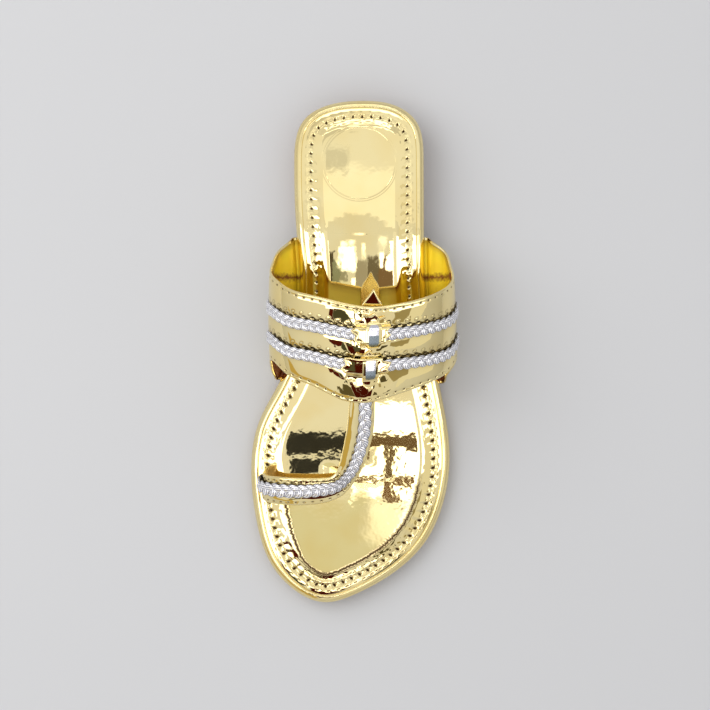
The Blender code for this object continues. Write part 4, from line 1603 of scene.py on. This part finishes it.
@dataclass
class Plait:
    """A flat plait of three yarns: each swings across as a sine and rises at twice its rate."""

    strip: Strip
    start: float
    end: float
    middle: Callable[[Any], Array]  # the share of the strip's width, for distances along it
    width: Callable[[Any], Array]  # in millimetres
    pitch: Callable[[Any], Array]  # the length of a full swing
    floor: float = 0.2
    thick: float = 0.62  # half a yarn's thickness
    sink: Callable[[Any], Array] = lambda along: 0 * along  # how far it is pulled into the strip
    # painted shade between its yarns, for distances along it
    dull: Callable[[Any], Array] = lambda along: 0 * along  # how dark it is between its yarns
    lobe: float = 0.215  # half a yarn's breadth, as a share of the plait's width
    round_mm: float = 6.4  # the way round a yarn
    row_mm: float = 0.5
    columns: int = 14

    def draft(self) -> Draft:
        """Ellipses square to each yarn's run, carried along it, and drawn in at the ends.

        Returns:
            The three yarns.
        """
        along = np.linspace(self.start, self.end, int((self.end - self.start) / self.row_mm))
        width, middle, wide = self.width(along), self.middle(along), self.strip.width(along)
        turns = np.concatenate([[0], np.cumsum(np.diff(along) / self.pitch((along[1:] + along[:-1]) / 2))])
        round_yarn = np.linspace(0, TAU, self.columns, endpoint=False)
        out = np.abs(np.cos(round_yarn))  # 1 at a yarn's two sides
        sink = self.sink(along)
        draft = Draft()
        for yarn in range(3):
            angle = TAU * (turns + yarn / 3)
            side = width * (0.5 - self.lobe) * np.sin(angle)
            lift = self.floor + self.thick + 0.5 + 0.5 * np.sin(2 * angle) - sink
            slope = np.gradient(side, along)
            run = np.sqrt(1 + slope**2)
            half = (width * self.lobe * (1 + 0.12 * np.sin(2 * angle + 1)))[:, None] * np.cos(round_yarn)
            share = middle[:, None] + (side[:, None] + half / run[:, None]) / wide[:, None]
            far = along[:, None] - half * (slope / run)[:, None]
            high = lift[:, None] + self.thick * np.sin(round_yarn) * (1 - 0.25 * out**3)
            points = self.strip.at(np.clip(far, self.strip.knots[0], self.strip.knots[-1]), share, high)
            length = chord_knots(np.stack([along, side, lift], axis=-1))
            round_mm = np.linspace(0, self.round_mm, self.columns + 1)
            uv = np.stack(np.broadcast_arrays(length[:, None], round_mm), axis=-1)
            # painted shade: darker where a yarn lies low under the others, along its two sides, and between
            # the yarns where the plait asks for more
            deep = 0.9 * (1 - step(high + sink[:, None], self.floor + 0.6, self.floor + 1.75))
            deep = np.maximum(np.maximum(deep, 0.5 * out**5), self.dull(along)[:, None] * (0.4 + 0.6 * out))
            draft.tube(points, flip=self.strip.facing > 0, uv=uv, mark=deep)
        return draft


@dataclass
class Braids:
    """The two plaits round the band, and the wider one down the toe strap and over the loop."""

    width: float = 6.4
    pitch: float = 12.6
    tight: float = 1.15  # how far the plaits are pulled in at the band's sides
    # painted shade on the toe braid where it turns
    dull: float = 0.55  # how dark the toe braid is where it turns
    toe_pitch: tuple = (  # row of STRAP, and the pitch there
        ("under front", 15.9), ("instep", 15.0), ("cleft", 11.5), ("bend", 9.0), ("turned", 10.5),
        ("toe top", 12.6), ("loop waist", 12.6),
    )

    def build(self) -> list[Piece]:
        """Each plait as one piece of three yarns.

        Returns:
            The three plaits.
        """
        pieces = []
        start, end = BAND_STRIP.knot["turn inner"], BAND_STRIP.knot["turn outer"]
        pulls = (1, 1, 0, 0, 1, 1)
        rows = ("rise inner", "side inner", "haunch inner", "haunch outer", "side outer", "rise outer")
        tight = graph([(BAND_STRIP.knot[row], self.tight * pull) for row, pull in zip(rows, pulls)])
        width, pitch = (lambda s: self.width + 0 * s), (lambda s: self.pitch + 0 * s)
        for name in ("back", "front"):
            plait = Plait(BAND_STRIP, start, end, LINES[name], width, pitch, sink=tight)
            pieces.append(plait.draft().build(f"silver_braid_{name}", YARN, Slot.BRAID, f"braid_{name}"))
        knot = TOE_STRIP.knot
        pitch = graph([(knot[row], length) for row, length in self.toe_pitch])
        low, high = TOE_EDGES
        plait = Plait(
            TOE_STRIP, knot["under front"], knot["loop waist"] + 1.5, lambda s: (low(s) + high(s)) / 2,
            lambda s: (high(s) - low(s)) * TOE_STRIP.width(s), pitch, row_mm=0.42,
            dull=lambda s: self.dull * hump(s - knot["bend"] - 2.0, 9.0),
        )
        pieces.append(plait.draft().build("silver_braid_toe", YARN, Slot.BRAID, "braid_toe"))
        return pieces


class Place(Enum):
    """The two ornaments on the band."""

    BACK = "back"
    FRONT = "front"


TONGUES = (  # name, finish, slot, width, how much longer it is than the tie, how far under the ridge, wall
    ("gold_tongue", FOIL, Slot.FOIL, 7.4, 2.4, 0.9, 0.8),
    ("silver_tie", TIE_FOIL, Slot.BRAID, 4.5, 0.0, 0.35, 0.75),
)


@dataclass
class Patch:
    """A pinked patch of crumpled foil that lies over a braid, held down by a tongue with a silver strip."""

    place: Place
    offset: float  # along the band from its ridge, to the outer side
    share: float  # of the band's width
    radii: tuple[float, float]  # along the band and across it
    tie_offset: float
    tie_ahead: float
    seed: int
    tie_length: float
    points: int = 11
    notch: float = 0.20
    wall: float = 0.8
    ridge: float = 3.2  # how high the patch stands over the braid
    foot: float = 0.45  # how high it is beside the braid
    flat: tuple[float, float] = (3.3, 5.3)  # how far from the braid's middle its top ends, and its sides
    lean: tuple[float, float] = (0.03, 0.05)  # how its top leans, to the outer side and to the front
    bow: float = 0.0045
    dent: float = 0.26
    curl: float = 0.25  # how high its rim curls up
    hem: float = 0.18  # how much its very edge is raised
    rays: int = 264
    rings: int = 30
    tongue_flat: tuple[float, float] = (3.3, 6.4)  # as flat, for the tongue over it
    tongue_foot: float = 1.15
    tongue_grid: tuple[int, int] = (49, 32)  # rows and columns

    def __post_init__(self) -> None:
        """Finds the middle of the patch and of the braid under it."""
        self.centre = BAND_STRIP.knot["ridge"] + self.offset
        self.wide = float(BAND_STRIP.width(self.centre))
        self.braid_share = float(LINES[self.place.value](self.centre))
        self.to_braid = (self.braid_share - self.share) * self.wide

    def cover(self, right: Array, forward: Array) -> Array:
        """How far a sheet over the braid is from the band: flat on top, falling steeply on both sides."""
        top = 1 - step(np.abs(forward), *self.flat)
        return self.foot + top * (self.ridge - self.foot + self.tilt(right, forward))

    def tilt(self, right: Array, forward: Array) -> Array:
        """The lean of its top, a plane, and its bow along the band, a parabola."""
        return self.lean[0] * right + self.lean[1] * forward + self.bow * right**2

    def build(self) -> Piece:
        """A disc of rings and rays with a pointed rim, folded towards its middle, and a second face below.

        Returns:
            The patch.
        """
        angle = np.linspace(0, TAU, self.rays + 1)
        reach = np.linspace(0, 1, self.rings)[:, None]
        saw = np.abs(2 * ((angle * self.points / TAU) % 1) - 1)
        rim = 1 - self.notch * saw
        rim += 0.05 * np.sin(2 * angle + self.seed) + 0.03 * np.sin(5 * angle + self.seed)
        out = reach * (1 + reach**4 * (rim - 1))
        right, forward = out * self.radii[0] * np.cos(angle), out * self.radii[1] * np.sin(angle)
        behind = forward - self.to_braid
        fold = 0.06 * reach * np.sin(self.points * angle + 1.4) * step(reach, 0.55, 1.0)
        sleeve = 0.06 + 0.94 * step(np.abs(behind), 2.4, 4.6)
        dents = self.dent * crumple(right, forward, 13, self.seed)
        dents += 0.06 * swell(right, forward, 9, self.seed)
        sheet = self.cover(right, behind) + np.maximum(fold + sleeve * dents, -0.35)
        sheet += self.curl * step(reach, 0.6, 1.0) * (0.5 + 0.5 * np.sin(3 * angle))
        sheet += self.hem * hump(reach - 0.965, 0.045)
        sheet[:, -1] = sheet[:, 0]
        edge = np.array([1.0, 0.7, 0.3, 0.0])[:, None]
        grow = 1 + 0.012 * np.sin(math.pi * edge)
        faces = [
            BAND_STRIP.at(self.centre + x, self.share + y / self.wide, lift)
            for x, y, lift in (
                (right, forward, sheet + self.wall),
                (right[-1] * grow, forward[-1] * grow, sheet[-1] + self.wall * edge),
                (right, forward, sheet),
            )
        ]
        # painted shade in the deeper folds of the top face
        crease = 0.5 * step(-crumple(right, forward, 8, self.seed), 0.5, 1.2) * step(reach, 0.2, 0.5)
        draft = Draft().grid(faces[0], flip=True, mark=crease).grid(faces[1], flip=True).grid(faces[2])
        return draft.build(f"pinked_patch_{self.place.value}", FOIL, Slot.FOIL, f"rosette_{self.place.value}")

    def tongue(self) -> tuple[Piece, Piece]:
        """A rounded tongue across the ridge, and the silver strip that lies along its middle.

        Returns:
            The tongue and the strip.
        """
        centre = BAND_STRIP.knot["ridge"] + self.tie_offset
        rows, columns = self.tongue_grid
        made = []
        for name, finish, slot, wide, longer, sink, wall in TONGUES:
            long = self.tie_length + longer
            forward = (np.sin(np.linspace(-1, 1, rows) * math.pi / 2) * long / 2)[:, None]
            end = np.clip((np.abs(forward) - long / 2 + wide / 2) / (wide / 2), 0, 0.995)
            taper = np.sqrt(1 - end**2)
            turn = np.linspace(0, TAU, columns, endpoint=False)
            right = wide / 2 * taper * np.cos(turn)
            ahead = forward + self.tie_ahead + 0 * right
            crown = 0.5 * wall * taper * np.sign(np.sin(turn)) * np.abs(np.sin(turn)) ** 0.45
            over = 1 - step(np.abs(forward + self.tie_ahead * 0.6), *self.tongue_flat)
            high = over * (self.ridge - sink + self.tilt(right, ahead))
            high = high + self.tongue_foot + 0.5 * wall + crown
            points = BAND_STRIP.at(centre + right, self.braid_share + ahead / self.wide, high)
            uv = np.stack(np.broadcast_arrays(forward, np.linspace(0, 9, columns + 1)), axis=-1)
            # painted reflection: the front half of the silver strip turns teal-grey
            shade = 0.8 * step(forward / long, -0.08, -0.02) * (finish is TIE_FOIL) + 0 * right
            draft = Draft().tube(points, flip=True, uv=uv, mark=shade)
            made.append(draft.build(f"{name}_{self.place.value}", finish, slot, f"tie_{self.place.value}"))
        return made[0], made[1]


PATCHES = (
    Patch(Place.BACK, 1.6, 0.245, (9.4, 8.6), 2.6, 0.2, 61, 12.0),
    Patch(Place.FRONT, -0.6, 0.65, (11.0, 9.9), 1.7, 2.4, 71, 14.0),
)


# ---- The studio -----------------------------------------------------------------------------------


def sheet_of(name: str, finish: Finish, corners: Any) -> Piece:
    """A flat four-sided sheet through these corners, in metres, with one face.

    Args:
        name: The sheet's name.
        finish: What it is made of.
        corners: Its corners, in order.

    Returns:
        The sheet.
    """
    mesh = bpy.data.meshes.new(name)
    mesh.from_pydata([tuple(corner) for corner in corners], [], [(0, 1, 2, 3)])
    mesh.uv_layers.new(name="UVMap").data.foreach_set("uv", (0, 1, 1, 1, 1, 0, 0, 0))
    mesh.materials.append(finish.material())
    made = bpy.data.objects.new(name, mesh)
    bpy.context.scene.collection.objects.link(made)
    return made


BRICK, RUST, TAN, OLIVE = "#B04A34", "#B8402C", "#F0C8A0", "#E8D8A0"
STRAW, LEAF, IVORY, LILAC = "#FFE08A", "#E8E8C0", "#FFFFF0", "#FFF8FF"


@dataclass
class Studio:
    """Pale paper on the floor, a soft light overhead, and the cards and boxes that the foil mirrors."""

    camera_height: float = 1.25
    camera_y: float = -0.00135
    lens: float = 125.7
    sky: tuple[float, float] = (0.50, 0.84)  # at the horizon and at the zenith
    sides: tuple[float, float] = (1.20, 0.94)  # how much brighter the sky is to the left, and to the right
    key_power: float = 9.2
    key_side: float = 1.3
    key_place: tuple[float, float, float] = (-0.95, 0.42, 1.10)
    cards: tuple = (  # name, x and y from and to, and height, in metres, then strength, softness and tint
        # beside the shoe, and what its heel mirrors
        ("box_left", (-1.25, -0.60), (-0.17, 0.03), 0.90, 3.4),
        ("box_left_mid", (-0.60, -0.34), (-0.29, 0.03), 0.90, 3.4),
        ("box_left_near", (-0.36, -0.105), (-0.29, -0.03), 0.90, 3.4),
        ("box_right", (0.30, 0.62), (-0.14, 0.03), 0.90, 3.2),
        ("box_back", (-0.60, 0.50), (0.60, 0.71), 0.90, 2.4),
        ("box_back_far", (-0.60, 0.60), (1.18, 1.52), 0.90, 2.4),
        ("heel_shade_top", (-0.50, -0.004), (0.262, 0.90), 1.20, 0.72, 0.1),
        ("ceiling_heel", (-1.90, 1.90), (0.135, 0.95), 1.22, 0.97),
        ("ceiling_right", (0.84, 3.0), (-0.80, 0.132), 1.22, 0.84, 0.0, "#FFFCF0"),
        ("ceiling_low", (-0.24, 0.24), (0.095, 0.190), 1.215, 1.17, 0.3),
        ("ceiling_waist", (-0.34, 0.34), (0.02, 0.122), 1.21, 0.87),
        ("heel_shade", (-0.048, -0.018), (0.172, 0.206), 1.20, 0.86, 0.5),
        ("heel_shade_core", (-0.042, -0.024), (0.178, 0.201), 1.19, 0.76, 0.5),
        # what the forefoot of the insole mirrors
        ("lamp", (0.008, 0.100), (-0.147, -0.046), 1.215, 3.6, 0.06),
        ("lamp_foot", (-0.006, 0.022), (-0.147, -0.127), 1.21, 3.6, 0.15),
        ("lamp_spill", (0.048, 0.112), (-0.194, -0.145), 1.215, 2.4, 0.35),
        ("lamp_spill_soft", (0.020, 0.118), (-0.186, -0.145), 1.22, 1.35, 0.3),
        ("lamp_window", (0.014, 0.036), (-0.112, -0.093), 1.20, 0.85, 0.15),
        ("stand_top", (0.010, 0.066), (-0.0935, -0.079), 1.19, 0.20, 0.2, TAN),
        ("stand_top_right", (0.040, 0.072), (-0.095, -0.077), 1.185, 0.20, 0.25, TAN),
        ("stand_leg", (0.0445, 0.054), (-0.126, -0.084), 1.19, 0.20, 0.2, TAN),
        ("stand_bar", (-0.004, 0.066), (-0.1325, -0.1205), 1.19, 0.24, 0.2, "#F0B888"),
        ("stand_foot", (0.045, 0.053), (-0.149, -0.124), 1.19, 0.24, 0.25, "#F0B888"),
        ("stand_knob", (0.012, 0.026), (-0.105, -0.094), 1.19, 0.20, 0.25, TAN),
        ("flag_body", (-0.071, -0.009), (-0.097, -0.074), 1.19, 0.035, 0.08),
        ("flag_grip", (-0.066, -0.040), (-0.120, -0.100), 1.19, 0.035, 0.12),
        ("flag_cord", (-0.047, -0.024), (-0.106, -0.099), 1.19, 0.05, 0.2),
        ("sleeve_white", (-0.110, 0.150), (-0.41, -0.235), 1.21, 3.0, 0.0, LILAC),
        ("sleeve_white_right", (0.045, 0.26), (-0.53, -0.26), 1.205, 3.0, 0.0, LILAC),
        # near the shoe: what the insole mirrors behind the band
        ("waist_dome", (-0.0213, 0.0245), (-0.018, 0.0685), 0.205, 0.86),
        ("waist_cap", (-0.0198, 0.0228), (0.060, 0.0722), 0.2045, 0.86),
        ("waist_cap_mid", (-0.0175, 0.0202), (0.060, 0.0750), 0.2040, 0.86, 0.1),
        ("waist_cap_high", (-0.0142, 0.0170), (0.060, 0.0775), 0.2035, 0.86, 0.12),
        ("waist_cap_top", (-0.0105, 0.0130), (0.060, 0.0800), 0.2030, 0.86, 0.2),
        ("waist_left", (-0.30, -0.075), (-0.014, 0.030), 0.200, 3.0, 0.03),
        ("waist_left_near", (-0.0215, -0.0183), (-0.014, 0.030), 0.200, 3.0),
        ("waist_edge_left", (-0.075, -0.0213), (-0.014, 0.066), 0.206, 0.98),
        ("waist_right", (0.075, 0.30), (-0.014, 0.030), 0.200, 3.0, 0.03),
        ("waist_right_near", (0.0213, 0.0252), (-0.014, 0.030), 0.200, 3.0),
        ("waist_edge_right", (0.0250, 0.075), (-0.014, 0.066), 0.206, 0.98),
        ("waist_dark_left", (-0.0188, -0.0130), (-0.018, 0.0110), 0.199, 0.13, 0.12, "#F0E0C8"),
        ("waist_olive", (-0.0138, -0.0098), (-0.018, 0.0072), 0.198, 0.33, 0.22, "#F4FFE8"),
        ("waist_grey", (-0.0106, -0.0074), (-0.0085, 0.0005), 0.1975, 0.38, 0.3, IVORY),
        ("waist_cream", (-0.0104, -0.0050), (-0.018, -0.0060), 0.1974, 0.90, 0.3, IVORY),
        ("waist_white", (-0.0050, -0.0008), (-0.0135, -0.0042), 0.1965, 2.6, 0.25),
        ("waist_mid", (-0.0024, 0.0094), (-0.018, 0.0068), 0.198, 0.42, 0.25, "#FFF8F0"),
        ("waist_brown", (0.0083, 0.0160), (-0.018, 0.0095), 0.197, 0.20, 0.22, "#F8E8D0"),
        ("waist_brown_low", (0.0142, 0.0232), (-0.018, 0.0022), 0.1972, 0.26, 0.2, TAN),
        ("waist_brown_top", (0.0180, 0.0208), (-0.001, 0.0100), 0.197, 0.30, 0.3, "#F0C8B8"),
        ("waist_blob", (-0.0112, 0.0002), (-0.0015, 0.0150), 0.196, 3.2, 0.35),
        ("waist_blob_top", (-0.0108, -0.0072), (0.0090, 0.033), 0.1965, 2.4, 0.7),
        ("waist_blob_mid", (-0.0085, 0.0005), (0.010, 0.040), 0.1965, 2.4, 0.8),
        ("waist_spot", (0.0036, 0.0086), (0.005, 0.026), 0.196, 2.2, 0.8),
        ("waist_spot_top", (-0.004, 0.0090), (0.052, 0.065), 0.196, 2.2, 0.9),
        ("waist_speck", (0.0076, 0.0088), (0.0570, 0.0600), 0.195, 0.05, 0.4),
        ("waist_spot_right", (0.0150, 0.0206), (0.004, 0.060), 0.1965, 1.5, 0.8),
        ("waist_spot_white", (0.0160, 0.0186), (0.0008, 0.0110), 0.196, 3.0, 0.35),
        ("waist_step", (0.0198, 0.0230), (-0.001, 0.0090), 0.196, 3.0, 0.3),
        # what the edges of the forefoot, the patches and the straps mirror
        ("flag_left", (-0.140, -0.104), (-0.45, -0.150), 1.19, 0.17, 0.1, BRICK),
        ("flag_right", (0.104, 0.15), (-0.45, -0.16), 1.19, 0.17, 0.1, BRICK),
        ("shade_right", (0.15, 0.60), (-0.26, -0.18), 1.20, 0.82, 0.0, "#FFF8E0"),
        ("flag_warm_left", (-0.68, -0.50), (-0.54, -0.40), 1.19, 0.16, 0.15, "#C24A30"),
        ("flag_dark_left", (-0.50, -0.37), (-0.68, -0.42), 1.18, 0.09, 0.1, LEAF),
        ("flag_leaf", (-0.27, -0.11), (-0.46, -0.27), 1.18, 0.11, 0.15, LEAF),
        ("flag_warm", (-0.30, 0.04), (-0.66, -0.41), 1.185, 0.13, 0.04, RUST),
        ("flag_warm_right", (0.03, 0.24), (-0.92, -0.56), 1.185, 0.13, 0.1, RUST),
        ("flag_warm_front", (-0.22, 0.06), (-0.92, -0.64), 1.18, 0.13, 0.15, RUST),
        ("flag_olive_left", (-0.60, -0.22), (-0.92, -0.74), 1.19, 0.14, 0.15, OLIVE),
        ("flag_olive_mid", (0.26, 0.45), (-0.57, -0.43), 1.19, 0.10, 0.12, OLIVE),
        ("flag_olive_right", (0.40, 0.575), (-0.83, -0.685), 1.18, 0.12, 0.15, OLIVE),
        ("flag_block", (0.58, 1.15), (-0.62, -0.33), 1.19, 0.42, 0.15, "#F0E0B0"),
        ("toe_shade", (-0.17, 0.045), (-0.30, -0.125), 1.19, 0.77, 0.3, "#FFFEEC"),
        ("flag_strap", (-6.0, -0.42), (-2.9, -1.15), 1.19, 0.57, 0.0, STRAW),
        ("flag_strap_back", (-0.78, -0.42), (-1.15, -0.94), 1.19, 0.57, 0.0, STRAW),
    )

    def build(self) -> None:
        """Sets the paper, sky, lights, cards and camera."""
        sheet_of("studio_floor", Paper(), ((-3, -3, 0), (3, -3, 0), (3, 3, 0), (-3, 3, 0)))
        self.light()
        for name, xs, ys, z, *glow in self.cards:
            corners = [(xs[i], ys[j], z) for i, j in ((0, 1), (1, 1), (1, 0), (0, 0))]
            made = sheet_of(f"card_{name}", Glow(f"card_{name}", *glow), corners)
            for ray in ("camera", "diffuse", "shadow", "transmission", "volume_scatter"):
                setattr(made, f"visible_{ray}", False)
        self.aim()

    def light(self) -> None:
        """A sky that is brighter overhead and to the left, and one large soft light."""
        world = bpy.data.worlds.new("studio_sky")
        world.use_nodes = True
        bpy.context.scene.world = world
        tree = world.node_tree
        tree.nodes.clear()
        way = add_node(tree, "TexCoord").outputs["Generated"]
        split = add_node(tree, "SeparateXYZ", {0: way})
        level: Any = 1.0
        for axis, start, near, far in (("Z", 0.0, *self.sky), ("X", -1.0, *self.sides)):
            ends = {"From Min": start, "To Min": near, "To Max": far}
            part = add_node(tree, "MapRange", {"Value": split.outputs[axis], **ends})
            level = add_node(tree, "Math", {0: level, 1: part}, operation="MULTIPLY")
        glow = add_node(tree, "Background", {"Color": (1.0, 1.0, 1.01, 1.0), "Strength": level})
        add_node(tree, "OutputWorld", {"Surface": glow})
        key = bpy.data.lights.new("key_light", "AREA")
        key.shape, key.size, key.energy = "SQUARE", self.key_side, self.key_power
        made = bpy.data.objects.new("key_light", key)
        made.location = self.key_place
        made.rotation_euler = made.location.to_track_quat("Z", "Y").to_euler()
        made.visible_camera = made.visible_glossy = False
        bpy.context.scene.collection.objects.link(made)

    def aim(self) -> None:
        """A camera straight over the shoe, and a plain view transform that keeps the foil's colours clean."""
        lens = bpy.data.cameras.new("camera")
        lens.lens, lens.sensor_width = self.lens, 36.0
        camera = bpy.data.objects.new("camera", lens)
        camera.location = (0.0, self.camera_y, self.camera_height)
        bpy.context.scene.collection.objects.link(camera)
        bpy.context.scene.camera = camera
        bpy.context.scene.view_settings.view_transform = "Standard"


def main() -> None:
    """Builds the shoe from the sole up, then the studio."""
    for layer in (Outsole(), Heel(), RolledEdge(), InsolePad()):
        report(layer.build())
    report(*InstepBand().build())
    report(*ToeStrap().build())
    report(*Braids().build())
    for patch in PATCHES:
        report(patch.build(), *patch.tongue())
    Studio().build()


if __name__ == "__main__":
    main()
